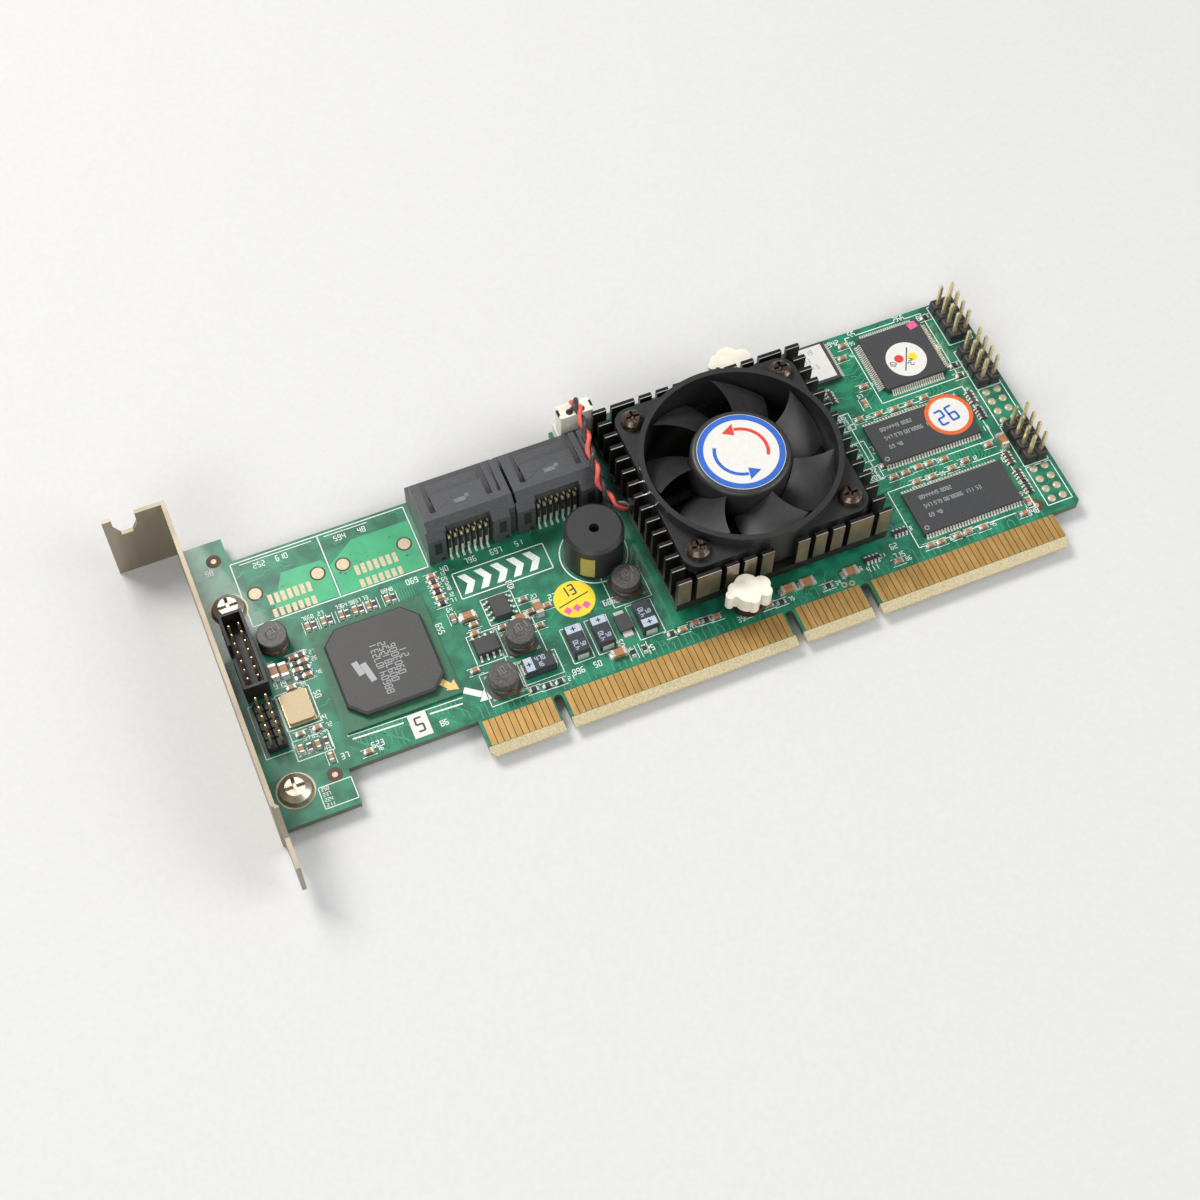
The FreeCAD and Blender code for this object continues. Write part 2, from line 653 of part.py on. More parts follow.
def build_power_parts():
    chokes = [build_choke(number, x, y) for number, (x, y) in enumerate(CHOKES, start=1)]
    for node, pieces in zip(("choke_bases", "choke_windings", "choke_tops"), zip(*chokes)):
        compound(node, list(pieces))
    length = S.tantalum_length.value
    width = S.tantalum_width.value
    height = S.tantalum_height.value
    bodies = []
    for x, y, turn in TANTALUMS:
        bodies.append(turned_block(x, y, 0.1, length, width, height - 0.1, turn))
    feature("tantalum_capacitors", bodies)
    ends = []
    for x, y, turn in TANTALUMS:
        for side in (-1, 1):
            strap = block_solid(side * (length / 2 + 0.1), 0, 0, 0.2, width * 0.65, 1.4)
            strap.Placement = Placement(Vector(x, y, 0), Rotation(Vector(0, 0, 1), turn))
            ends.append(strap)
    feature("tantalum_leads", ends)
    long_side = S.small_outline_length.value
    short_side = S.small_outline_width.value
    top = S.small_outline_height.value
    bodies = []
    leads = []
    for x, y, turn in SMALL_OUTLINES:
        spin = Rotation(Vector(0, 0, 1), turn)
        bodies.append(turned_block(x, y, 0.1, long_side, short_side, top - 0.1, turn))
        for side in (-1, 1):
            for column in range(4):
                lead = gull_lead((column - 1.5) * 1.27, side * short_side / 2, top * 0.55, 1.0,
                                 0.41, Vector(0, side, 0))
                lead.Placement = Placement(Vector(x, y, 0), spin)
                leads.append(lead)
    feature("regulator_bodies", bodies)
    feature("regulator_leads", leads)
    feature("diode_body", [block_solid(
        S.diode_x.value, S.diode_y.value, 0, S.diode_width.value, S.diode_length.value,
        S.diode_height.value)])


# ---------------------------------------------------------------- processor, heatsink and fan

sink_floor = S.processor_height + S.thermal_pad
base_top = sink_floor + S.base_thickness
sink_top = base_top + S.fin_height
fan_bottom = base_top + S.fan_floor_gap
ear_bottom = fan_bottom + S.ear_drop
ear_top = ear_bottom + S.ear_thickness
fan_top = fan_bottom + S.fan_height
ear_side = S.fan_side - S.ear_trim
screw_offset = ear_side / 2 - S.ear_hole_inset
lead_gap_y = S.sink_y - S.sink_depth / 2 + S.fin_pitch * 7 + (S.fin_pitch + S.fin_thickness) / 2


def build_processor():
    keep("processor_package", centred_box(
        "package", S.sink_x, S.sink_y, 0, S.processor_side, S.processor_side,
        S.processor_height))
    keep("thermal_pad", centred_box(
        "pad", S.sink_x, S.sink_y, S.processor_height, S.processor_side - 2,
        S.processor_side - 2, S.thermal_pad))


def build_heatsink():
    """A base with rows of cut fins, a round well for the fan and a square seat for its ears."""
    body = new_body("heatsink")
    base = sketch_on(body, "XY_Plane", sink_floor)
    rectangle(base, S.sink_x, S.sink_y, S.sink_width, S.sink_depth)
    pad(body, base, S.base_thickness)
    # two round-ended lugs carry the pins
    lugs = sketch_on(body, "XY_Plane", sink_floor)
    for (x, y), side in zip(pin_places, (-1, 1)):
        reach = S.lug_offset_y - S.sink_depth / 2 + 1
        rectangle(lugs, x, y - reach * side / 2, S.lug_radius * 2, reach)
    pad(body, lugs, S.base_thickness)
    ends = sketch_on(body, "XY_Plane", sink_floor)
    for x, y in pin_places:
        circle(ends, x, y, S.lug_radius)
    pad(body, ends, S.base_thickness)
    holes = sketch_on(body, "XY_Plane", base_top)
    for x, y in pin_places:
        circle(holes, x, y, S.lug_hole)
    pocket(body, holes, S.base_thickness)
    feature("heatsink_fins", fin_posts())


def fin_posts():
    """The fins after the cross cuts: posts in rows, trimmed where the fan sits."""
    centre = Vector(S.sink_x.value, S.sink_y.value, 0)
    half = S.sink_width.value / 2
    gap = S.slot_width.value
    offsets = [S.slot_inner.value + S.slot_pitch.value * step for step in range(4)]
    offsets.append(S.slot_outer.value)
    cuts = sorted([-offset for offset in offsets] + offsets)
    starts = [-half] + [offset + gap / 2 for offset in cuts]
    stops = [offset - gap / 2 for offset in cuts] + [half]
    low = base_top.value
    well = Part.makeCylinder(S.fan_side.value / 2 + S.fan_gap.value, S.fin_height.value,
                             centre + Vector(0, 0, low))
    side = ear_side.value + S.fan_gap.value
    seat = block_solid(centre.x, centre.y, ear_bottom.value, side, side, S.fin_height.value)
    tools = [well, seat]
    for turn_x in (-1, 1):
        for turn_y in (-1, 1):
            corner = centre + Vector(screw_offset.value * turn_x, screw_offset.value * turn_y, low)
            tools.append(Part.makeCylinder(S.fan_screw_radius.value + 0.3, S.fin_height.value, corner))
    trim = tools[0].multiFuse(tools[1:])
    thickness = S.fin_thickness.value
    rows = int(round((S.sink_depth.value - thickness) / S.fin_pitch.value)) + 1
    pitch = (S.sink_depth.value - thickness) / (rows - 1)
    posts = []
    for row in range(rows):
        y = centre.y - S.sink_depth.value / 2 + row * pitch
        for start, stop in zip(starts, stops):
            if row in (0, rows - 1) and start < 0 < stop:
                continue
            post = Part.makeBox(stop - start, thickness, S.fin_height.value,
                                Vector(centre.x + start, y, low))
            left = post.cut(trim)
            posts += [solid for solid in left.Solids if solid.BoundBox.ZMax > low + 0.5
                      and solid.Volume > thickness * 0.5]
    return posts


# the lobes of a pin's cloud-shaped cap: place along and across it, and radius
CAP_LOBES = [(0.0, -0.6, 2.6), (-0.3, 0.6, 2.4), (2.6, 0.7, 1.7), (-2.4, -0.3, 1.6),
             (-3.6, -1.4, 0.9), (3.3, -0.9, 1.2), (0.9, -2.4, 1.1)]
CAP_SHIFTS = [(-0.6, -0.7), (0.9, 1.5)]
CAP_TURN = -18


def build_retention(number):
    """A plastic pin through a lug and the board, with a flat lobed cap over the lug."""
    x, y = pin_places[number - 1]
    stem_low = -S.board_thickness - 1.2
    pieces = [cylinder("pin_stem_%d" % number, x, y, stem_low, S.pin_stem,
                       base_top - stem_low + 1)]
    turn = CAP_TURN * pi / 180
    shift_x, shift_y = CAP_SHIFTS[number - 1]
    for step, (along, across, radius) in enumerate(CAP_LOBES):
        lobe_x = x + shift_x + along * cos(turn) - across * sin(turn)
        lobe_y = y + shift_y + along * sin(turn) + across * cos(turn)
        pieces.append(cylinder("pin_lobe_%d_%d" % (number, step), lobe_x, lobe_y, base_top,
                               radius * S.cap_scale, S.pin_cap_height))
    keep("retention_pin_%d" % number, fuse("pin_%d" % number, pieces))


def build_fan_frame():
    body = new_body("fan_frame")
    radius = S.fan_side / 2
    ring = sketch_on(body, "XY_Plane", fan_bottom)
    circle(ring, S.sink_x, S.sink_y, radius)
    pad(body, ring, S.fan_height)
    plate = sketch_on(body, "XY_Plane", ear_bottom)
    rectangle(plate, S.sink_x, S.sink_y, ear_side, ear_side)
    pad(body, plate, S.ear_thickness)
    corner = (ear_side / 2).value - 0.01

    def at_corner(edge):
        box_of = edge.BoundBox
        return (upright(edge) and abs(box_of.XMin - S.sink_x.value) > corner
                and abs(box_of.YMin - S.sink_y.value) > corner)
    dress(body, "Fillet", S.fan_corner, at_corner)
    bore = sketch_on(body, "XY_Plane", fan_top)
    circle(bore, S.sink_x, S.sink_y, radius - S.fan_wall)
    pocket(body, bore, S.fan_height)
    # the motor plate and its three struts, at the bottom of the duct
    motor = sketch_on(body, "XY_Plane", fan_bottom)
    circle(motor, S.sink_x, S.sink_y, S.motor_plate_radius)
    pad(body, motor, S.motor_plate_height)
    reach = radius - S.fan_wall / 2
    half = S.strut_width / 2
    for turn in (60, 180, 300):
        strut = sketch_on(body, "XY_Plane", fan_bottom)
        along = (cos(turn * pi / 180), sin(turn * pi / 180))
        corners = []
        for distance, side in ((S.motor_plate_radius * 0.8, -1), (reach, -1), (reach, 1),
                               (S.motor_plate_radius * 0.8, 1)):
            corners.append((S.sink_x + distance * along[0] - half * (side * along[1]),
                            S.sink_y + distance * along[1] + half * (side * along[0])))
        outline(strut, corners)
        pad(body, strut, S.motor_plate_height)
    holes = sketch_on(body, "XY_Plane", ear_top)
    for x in (S.sink_x - screw_offset, S.sink_x + screw_offset):
        for y in (S.sink_y - screw_offset, S.sink_y + screw_offset):
            circle(holes, x, y, S.fan_screw_radius + 0.25)
    pocket(body, holes, S.ear_thickness)
    # the outlet that carries the lead between two fins to the side of the heatsink
    outlet = sketch_on(body, "XY_Plane", fan_bottom + 0.3)
    outlet_end = S.sink_x - S.sink_width / 2 - 0.2
    outlet_start = S.sink_x - radius + S.fan_wall * 0.6
    width = S.fin_pitch - S.fin_thickness - 0.3
    rectangle(outlet, (outlet_end + outlet_start) / 2, lead_gap_y, outlet_start - outlet_end, width)
    pad(body, outlet, term(2.8))


def build_fan_motor():
    """The fixed inside of the motor: a bearing tube with its ring of wound poles."""
    floor = fan_bottom + S.motor_plate_height
    tube = cylinder("bearing_tube", S.sink_x, S.sink_y, floor, S.bearing_radius,
                    S.stator_height + 1)
    poles = cylinder("poles", S.sink_x, S.sink_y, floor, S.stator_radius, S.stator_height)
    hole = cylinder("bearing_bore", S.sink_x, S.sink_y, floor - 0.5,
                    S.shaft_radius + S.shaft_fit, S.stator_height + 3)
    keep("fan_stator", cut("stator", fuse("stator_mass", [tube, poles]), hole))


def build_rotor():
    """The hub cup with seven pitched blades, which end short of the duct by a running gap."""
    body = new_body("fan_rotor")
    hub_low = S.hub_lift
    hub_high = S.fan_height - S.label_thickness
    inner = S.hub_radius - S.hub_wall
    cup = sketch_on(body, "XZ_Plane")
    outline(cup, [(0, hub_high), (S.hub_radius - 0.6, hub_high), (S.hub_radius, hub_high - 0.6),
                  (S.hub_radius, hub_low), (inner, hub_low), (inner, hub_high - 1),
                  (0, hub_high - 1)])
    turned = body.newObject("PartDesign::Revolution", "hub_turned")
    turned.Profile = cup
    turned.ReferenceAxis = (cup, ["V_Axis"])
    turned.Angle = 360
    doc.recompute()
    # one blade, lofted from a steep root to a flatter tip
    tip_radius = S.fan_side / 2 - S.fan_wall - S.blade_tip_gap
    top = S.fan_height - S.blade_top_gap
    sections = []
    for radius, chord, slope in ((S.hub_radius - 0.5, S.blade_root, 38),
                                 (tip_radius * 0.95, S.blade_tip, 27)):
        section = sketch_on(body, "XZ_Plane", -radius)
        half = chord * (cos(slope * pi / 180) / 2)
        drop = chord * sin(slope * pi / 180)
        thick = S.blade_thickness
        outline(section, [(-half, top), (half, top - drop), (half, top - drop + thick),
                          (-half + thick * 0.4, top)][::-1])
        sections.append(section)
    blade = body.newObject("PartDesign::AdditiveLoft", "blade_loft")
    blade.Profile = sections[0]
    blade.Sections = [sections[1]]
    blade.Ruled = True
    doc.recompute()
    ring = body.newObject("PartDesign::PolarPattern", "blade_ring")
    ring.Originals = [blade]
    ring.Axis = (cup, ["V_Axis"])
    ring.Angle = 360
    ring.Occurrences = 7
    body.Tip = ring
    doc.recompute()
    place(body, S.sink_x, S.sink_y, fan_bottom)
    keep("fan_shaft", cylinder("shaft", S.sink_x, S.sink_y, fan_bottom + S.motor_plate_height + 0.2,
                               S.shaft_radius,
                               S.fan_height - S.label_thickness - S.motor_plate_height - 1.2))
    keep("fan_label", cylinder("label", S.sink_x, S.sink_y, fan_top - S.label_thickness,
                               S.label_radius, S.label_thickness))


def build_fan_plug():
    """A locking header on the board with the fan's plug pushed down on it."""
    body = new_body("fan_header")
    base = sketch_on(body, "XY_Plane")
    rectangle(base, S.plug_x, S.plug_y, S.plug_width, S.plug_depth)
    pad(body, base, S.plug_seat)
    wall = sketch_on(body, "XY_Plane", S.plug_seat - 0.1)
    rectangle(wall, S.plug_x, S.plug_y + S.plug_depth / 2 - 0.4, S.plug_width * 0.6, term(0.8))
    pad(body, wall, S.plug_height * 0.55)
    body = new_body("fan_plug")
    depth = S.plug_depth - 1.1
    block = sketch_on(body, "XY_Plane", S.plug_seat)
    rectangle(block, S.plug_x, S.plug_y - 0.5, S.plug_width - 0.4, depth)
    pad(body, block, S.plug_height)
    dress(body, "Fillet", 0.3, upright)


# ---------------------------------------------------------------- chips and headers, far half

def side_leads(x, y, half_length, count, pitch, half_width, top, reach, width, axis):
    """Leads along two opposite sides of a chip, which face along the axis."""
    leads = []
    for side in (-1, 1):
        for number in range(count):
            along = (number - (count - 1) / 2) * pitch
            if axis == "y":
                leads.append(gull_lead(x + along, y + side * half_width, top, reach, width,
                                       Vector(0, side, 0)))
            else:
                leads.append(gull_lead(x + side * half_length, y + along, top, reach, width,
                                       Vector(side, 0, 0)))
    return leads


def chip(node, x, y, length, width, height):
    keep(node, centred_box(node + "_block", x, y, S.chip_lift, length, width,
                           height - S.chip_lift))


def build_chips():
    lead_top = 0.55
    memory_leads = []
    for number in (1, 2):
        y = S.memory_low_y + S.memory_spacing * (number - 1)
        chip("memory_chip_%d" % number, S.memory_x, y, S.memory_length, S.memory_width,
             S.memory_height)
        memory_leads += side_leads(
            S.memory_x.value, y.value, 0, 33, S.memory_pitch.value, S.memory_width.value / 2,
            S.memory_height.value * lead_top, 0.78, 0.3, "y")
    feature("memory_chip_leads", memory_leads)
    chip("logic_chip", S.logic_x, S.logic_y, S.logic_side, S.logic_side, S.logic_height)
    half = S.logic_side.value / 2
    logic_leads = []
    for axis in "yx":
        logic_leads += side_leads(S.logic_x.value, S.logic_y.value, half, 16,
                                  S.logic_pitch.value, half, S.logic_height.value * lead_top,
                                  1.0, 0.36, axis)
    feature("logic_chip_leads", logic_leads)
    flash_x = S.flash_end - S.flash_length / 2
    chip("flash_chip", flash_x, S.flash_y, S.flash_length, S.flash_width, S.flash_height)
    feature("flash_chip_leads", side_leads(
        flash_x.value, S.flash_y.value, S.flash_length.value / 2, 18, S.flash_pitch.value, 0,
        S.flash_height.value * lead_top, 0.75, 0.24, "x"))


def build_far_headers():
    """Three open headers of two columns by four rows, with their soldered tails."""
    pitch = S.header_pitch
    pins = []
    tails = []
    low = -S.board_thickness.value
    rows = (S.header_top_y, S.header_middle_y, S.header_low_y)
    bases = []
    for number, y in enumerate(rows, start=1):
        bases.append(centred_box("header_base_%d" % number, S.header_x, y, 0, pitch * 2,
                                 pitch * 4, S.header_base))
        pins += pin_grid(S.header_x.value, y.value, 2, 4, pitch.value, S.header_pin.value,
                         S.header_base.value, S.header_pin_top.value)
        tails += pin_grid(S.header_x.value, y.value, 2, 4, pitch.value, S.header_pin.value,
                          low - S.tail_length.value, low)
    compound("pin_header_bases", bases)
    for y, count in ((S.shroud_y, 7), (S.service_y, 5)):
        tails += pin_grid(S.shroud_x.value, y.value, 2, count, S.fine_pitch.value,
                          S.fine_pin_width.value, low - S.tail_length.value, low)
    feature("pin_header_pins", pins)
    feature("solder_tails", tails)


CAPACITORS = [(-32.3, 32.5, 90), (-30.0, 32.8, 90), (121.6, 27.3, 90), (121.2, 34.6, 90),
              (78.5, 11.0, 0), (84.2, 12.0, 0), (92.0, 15.6, 0), (93.6, 50.0, 90),
              (20.0, 22.5, 90), (24.5, 22.6, 90), (30.0, 11.0, 0), (44.5, 11.8, 0),
              (49.0, 11.8, 0), (66.0, 11.6, 0), (70.0, 11.6, 0), (92.6, 24.0, 90),
              (92.6, 31.0, 90), (92.6, 38.5, 90), (101.5, 26.3, 0), (110.5, 26.3, 0)]
RESISTORS = ([(-23.0 + 2.1 * step, 40.3, 90) for step in range(9)]
             + [(2.6, 33.5 + 1.9 * step, 0) for step in range(4)]
             + [(-31.8 + 1.7 * step, 14.6, 90) for step in range(4)]
             + [(121.4, 41.0 + 2.2 * step, 0) for step in range(5)]
             + [(42.0 + 2.4 * step, 9.2, 90) for step in range(5)]
             + [(98.0 + 3.2 * step, 10.2, 0) for step in range(6)])


def build_small_parts():
    """The ceramic capacitors and chip resistors between the larger parts."""
    for node, places, kind in (("ceramic_capacitors", CAPACITORS, "capacitor"),
                               ("chip_resistors", RESISTORS, "resistor")):
        length, width, height = (getattr(S, kind + part).value
                                 for part in ("_length", "_width", "_height"))
        feature(node, [turned_block(x, y, 0, length, width, height, turn)
                       for x, y, turn in places])


# ---------------------------------------------------------------- fan lead

LEAD_POINTS = [
    Vector(40.7, 60.4, 10.6), Vector(40.7, 60.4, 13.6), Vector(40.5, 57.6, 15.3),
    Vector(40.0, 53.6, 15.2), Vector(39.4, 49.6, 13.8), Vector(38.9, 45.6, 12.9),
    Vector(38.8, 42.3, 10.6), Vector(39.6, 39.5, 8.5), Vector(41.1, 37.5, 7.4),
    Vector(43.0, 36.99, 7.3)]


def build_lead():
    """The twisted pair, as one tube of straight runs joined by tangent arcs."""
    points = LEAD_POINTS
    edges = []
    start = points[0]
    for before, here, after in zip(points, points[1:], points[2:]):
        inward = here - before
        outward = after - here
        turn = inward.getAngle(outward)
        shorter = min(inward.Length, outward.Length)
        trim = 0.45 * shorter
        radius = trim / tan(turn / 2)
        print("lead radius %.1f mm" % radius)
        inward.normalize()
        outward.normalize()
        first = here - inward * trim
        last = here + outward * trim
        bisector = (outward - inward).normalize()
        centre = here + bisector * (radius / cos(turn / 2))
        middle = centre - bisector * radius
        edges.append(Part.makeLine(start, first))
        edges.append(Part.Arc(first, middle, last).toShape())
        start = last
    edges.append(Part.makeLine(start, points[-1]))
    path = Part.Wire(edges)
    radius = S.lead_diameter.value / 2
    section = Part.Wire(Part.makeCircle(radius, points[0], points[1] - points[0]))
    tube = path.makePipeShell([section], True, False)
    if abs(tube.Volume - pi * radius ** 2 * path.Length) > 0.02 * tube.Volume:
        raise RuntimeError("the lead's volume does not match its length")
    feature("fan_lead", [tube])


# ---------------------------------------------------------------- the whole card

build_board()
build_fingers()
build_bracket()
for screw_number, screw_y in enumerate(screw_rows, start=1):
    build_screw("bracket_screw_%d" % screw_number, screw_x, screw_y, term(0),
                S.screw_head_radius, S.screw_head_height, S.screw_shank_radius,
                S.board_thickness + S.sheet_thickness)
build_controller()
build_near_headers()
build_near_parts()
for socket_number in (1, 2):
    build_drive_socket(socket_number)
    build_socket_contacts(socket_number)
build_buzzer()
build_power_parts()
build_processor()
build_heatsink()
for pin_number in (1, 2):
    build_retention(pin_number)
build_fan_frame()
build_fan_motor()
build_rotor()
fan_screw_number = 0
for screw_side_x in (-1, 1):
    for screw_side_y in (-1, 1):
        fan_screw_number += 1
        build_screw("fan_screw_%d" % fan_screw_number, S.sink_x + screw_offset * screw_side_x,
                    S.sink_y + screw_offset * screw_side_y, ear_top, S.fan_head_radius,
                    S.fan_head_height, S.fan_screw_radius, ear_top - base_top - 0.3)
build_fan_plug()
build_chips()
build_far_headers()
build_small_parts()
build_lead()
doc.recompute()

for item in doc.Objects:
    if "Invalid" in item.State or "Error" in item.State:
        raise RuntimeError("%s failed: %s" % (item.Name, item.State))
os.makedirs("parts", exist_ok=True)
for node, item in nodes.items():
    shape = item.Shape
    if shape.isNull() or not shape.isValid():
        raise RuntimeError(node + " has no valid shape")
    shape.exportStep("parts/%s.step" % node)
    print("%s: %.1f mm3, %d solids" % (node, shape.Volume, len(shape.Solids)))
print(len(nodes), "sub-parts")
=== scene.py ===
import random
from math import cos, hypot, pi, radians, sin, sqrt

import bmesh
import bpy
from mathutils import Matrix, Vector


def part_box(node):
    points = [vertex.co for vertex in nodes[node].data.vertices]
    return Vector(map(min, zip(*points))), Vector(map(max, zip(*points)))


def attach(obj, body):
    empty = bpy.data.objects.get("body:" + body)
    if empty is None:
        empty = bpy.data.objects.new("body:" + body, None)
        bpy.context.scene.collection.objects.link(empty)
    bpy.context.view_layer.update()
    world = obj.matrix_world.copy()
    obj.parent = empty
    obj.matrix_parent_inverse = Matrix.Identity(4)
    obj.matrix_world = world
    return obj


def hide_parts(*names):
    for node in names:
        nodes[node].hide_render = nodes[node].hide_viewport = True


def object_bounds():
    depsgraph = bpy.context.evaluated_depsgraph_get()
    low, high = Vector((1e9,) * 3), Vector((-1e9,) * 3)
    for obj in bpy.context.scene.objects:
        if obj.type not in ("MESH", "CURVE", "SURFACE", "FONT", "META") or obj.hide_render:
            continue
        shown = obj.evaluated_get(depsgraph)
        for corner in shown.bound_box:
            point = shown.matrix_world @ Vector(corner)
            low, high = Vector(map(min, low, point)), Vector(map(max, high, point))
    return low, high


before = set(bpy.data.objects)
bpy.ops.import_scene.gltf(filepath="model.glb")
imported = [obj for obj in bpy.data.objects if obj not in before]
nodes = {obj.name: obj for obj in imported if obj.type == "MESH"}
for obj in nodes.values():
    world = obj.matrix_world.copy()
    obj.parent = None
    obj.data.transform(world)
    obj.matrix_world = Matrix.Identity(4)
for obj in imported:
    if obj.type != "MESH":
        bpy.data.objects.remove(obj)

cad_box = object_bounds()
MM = 0.001
CARD = "card"
ROTOR = "fan_rotor_body"


# ------------------------------------------------ places, all in millimetres

def span(node):
    """Lowest and highest corner of a CAD node, in millimetres."""
    low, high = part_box(node)
    return low / MM, high / MM


def middle(node):
    low, high = span(node)
    return (low + high) / 2


board_low, board_high = span("circuit_board")
FACE = board_high.z
BACK = board_low.z
fins_low, fins_high = span("heatsink_fins")
FAN_TOP = span("fan_frame")[1].z
hub_middle = middle("fan_shaft")
FAN_X, FAN_Y = hub_middle.x, hub_middle.y
FINGER_PITCH = 1.27
FINGER_SHIFT = 2.49
STRIP_THICKNESS = 0.045


# ------------------------------------------------ materials

def new_material(name):
    material = bpy.data.materials.new(name)
    material.use_nodes = True
    return material, material.node_tree.nodes, material.node_tree.links


def noise(tree_nodes, links, scale, detail=4.0, stretch=None):
    """Noise in object coordinates, in features per metre, and stretched along one axis if wanted."""
    source = tree_nodes.new("ShaderNodeTexCoord").outputs["Object"]
    if stretch:
        mapping = tree_nodes.new("ShaderNodeMapping")
        mapping.inputs["Scale"].default_value = stretch
        links.new(source, mapping.inputs["Vector"])
        source = mapping.outputs["Vector"]
    texture = tree_nodes.new("ShaderNodeTexNoise")
    texture.inputs["Scale"].default_value = scale
    texture.inputs["Detail"].default_value = detail
    links.new(source, texture.inputs["Vector"])
    return texture.outputs["Fac"]


def ramp(tree_nodes, links, source, stops):
    """A colour ramp over a value: stops of (position, colour)."""
    node = tree_nodes.new("ShaderNodeValToRGB")
    band = node.color_ramp
    while len(band.elements) < len(stops):
        band.elements.new(0.5)
    for element, (position, color) in zip(band.elements, stops):
        element.position = position
        element.color = (*color, 1.0)
    links.new(source, node.inputs["Fac"])
    return node.outputs["Color"]


def spread(tree_nodes, links, source, low, high):
    node = tree_nodes.new("ShaderNodeMapRange")
    node.inputs["To Min"].default_value = low
    node.inputs["To Max"].default_value = high
    links.new(source, node.inputs["Value"])
    return node.outputs["Result"]


def shade(color, factor):
    return tuple(min(1.0, channel * factor) for channel in color)


def add_relief(tree_nodes, links, source, strength):
    """A fine grain in the surface, a tenth of a millimetre deep at most."""
    relief = tree_nodes.new("ShaderNodeBump")
    relief.inputs["Strength"].default_value = strength
    relief.inputs["Distance"].default_value = 0.0001
    links.new(source, relief.inputs["Height"])
    links.new(relief.outputs["Normal"], tree_nodes["Principled BSDF"].inputs["Normal"])


def finish(name, color, rough=0.5, metal=0.0, worn=None, grain=900.0, bump=0.05,
           bump_grain=6000.0, coat=0.0, stretch=None, contrast=0.16):
    """A surface whose colour and gloss vary over it: a base tone, its shades and a fine grain."""
    material, tree_nodes, links = new_material(name)
    inputs = tree_nodes["Principled BSDF"].inputs
    large = noise(tree_nodes, links, grain, 5.0, stretch)
    light = worn or shade(color, 1 + contrast)
    tone = ramp(tree_nodes, links, large,
                [(0.32, shade(color, 1 - contrast)), (0.5, color), (0.72, light)])
    links.new(tone, inputs["Base Color"])
    fine = noise(tree_nodes, links, bump_grain, 3.0, stretch)
    gloss = spread(tree_nodes, links, fine, max(0.03, rough - 0.08), min(1.0, rough + 0.08))
    links.new(gloss, inputs["Roughness"])
    inputs["Metallic"].default_value = metal
    inputs["Coat Weight"].default_value = coat
    inputs["Coat Roughness"].default_value = 0.15
    add_relief(tree_nodes, links, fine, bump)
    return material


def calculate(tree_nodes, links, operation, first, second=None):
    """A maths node over an output and, where it is given, a number or a second output."""
    node = tree_nodes.new("ShaderNodeMath")
    node.operation = operation
    links.new(first, node.inputs[0])
    if isinstance(second, float):
        node.inputs[1].default_value = second
    elif second:
        links.new(second, node.inputs[1])
    return node.outputs[0]


def split(tree_nodes, links, source):
    node = tree_nodes.new("ShaderNodeSeparateXYZ")
    links.new(source, node.inputs["Vector"])
    return node.outputs


def blend(tree_nodes, links, factor, first, second):
    node = tree_nodes.new("ShaderNodeMix")
    node.data_type = "RGBA"
    for name, source in (("Factor", factor), ("A", first), ("B", second)):
        links.new(source, node.inputs[name])
    return node.outputs["Result"]


def board_material():
    """Green solder mask in shades; cut edges and the contacts' bevel are bare laminate."""
    material, tree_nodes, links = new_material("solder_mask")
    tree = (tree_nodes, links)
    inputs = tree_nodes["Principled BSDF"].inputs
    green = ramp(*tree, noise(*tree, 260.0, 2.0), [
        (0.40, (0.008, 0.115, 0.062)), (0.47, (0.010, 0.140, 0.076)),
        (0.53, (0.013, 0.172, 0.094)), (0.64, (0.017, 0.205, 0.112))])
    weave = noise(*tree, 3000.0, 2.0)
    laminate = ramp(*tree, weave, [(0.35, (0.42, 0.35, 0.20)), (0.65, (0.56, 0.49, 0.31))])
    core = ramp(*tree, weave, [(0.35, (0.045, 0.070, 0.025)), (0.65, (0.085, 0.105, 0.045))])
    place = split(*tree, tree_nodes.new("ShaderNodeTexCoord").outputs["Object"])
    low_edge = calculate(*tree, "LESS_THAN", place["Y"], 2.02 * MM)
    tongue = calculate(*tree, "GREATER_THAN", place["X"], -1.0 * MM)
    bevel = calculate(*tree, "MULTIPLY", low_edge, tongue)
    facing = split(*tree, tree_nodes.new("ShaderNodeNewGeometry").outputs["True Normal"])
    side = calculate(*tree, "LESS_THAN", calculate(*tree, "ABSOLUTE", facing["Z"]), 0.5)
    cut = blend(*tree, side, green, core)
    links.new(blend(*tree, bevel, cut, laminate), inputs["Base Color"])
    links.new(spread(*tree, weave, 0.28, 0.40), inputs["Roughness"])
    inputs["Coat Weight"].default_value = 0.25
    add_relief(*tree, weave, 0.06)
    return material


MASK = board_material()
TRACE = finish("trace_under_mask", (0.028, 0.285, 0.150), 0.32, coat=0.25, grain=500)
INK = finish("board_ink", (0.78, 0.82, 0.78), 0.6, grain=2500)
POUR = finish("copper_pour", (0.030, 0.360, 0.155), 0.34, coat=0.25, grain=260, contrast=0.12)
GOLD = finish("contact_gold", (0.52, 0.30, 0.09), 0.36, 0.55, worn=(0.60, 0.37, 0.13),
              grain=700, stretch=(1, 0.2, 1), bump=0.1)
GAP = finish("contact_gap", (0.060, 0.050, 0.018), 0.6, grain=2500)
PAD = finish("bare_pad", (0.50, 0.42, 0.29), 0.42, 0.3, grain=2200, bump=0.1)
BROWN = finish("bare_laminate", (0.075, 0.045, 0.022), 0.6, grain=2500)
ARROW = finish("arrow_gold", (0.78, 0.50, 0.17), 0.5, grain=2500)
PIN_GOLD = finish("pin_gold", (0.86, 0.72, 0.42), 0.30, 0.8, grain=1500)
TIN = finish("tin", (0.74, 0.71, 0.63), 0.36, 0.5, grain=2200, bump=0.15)
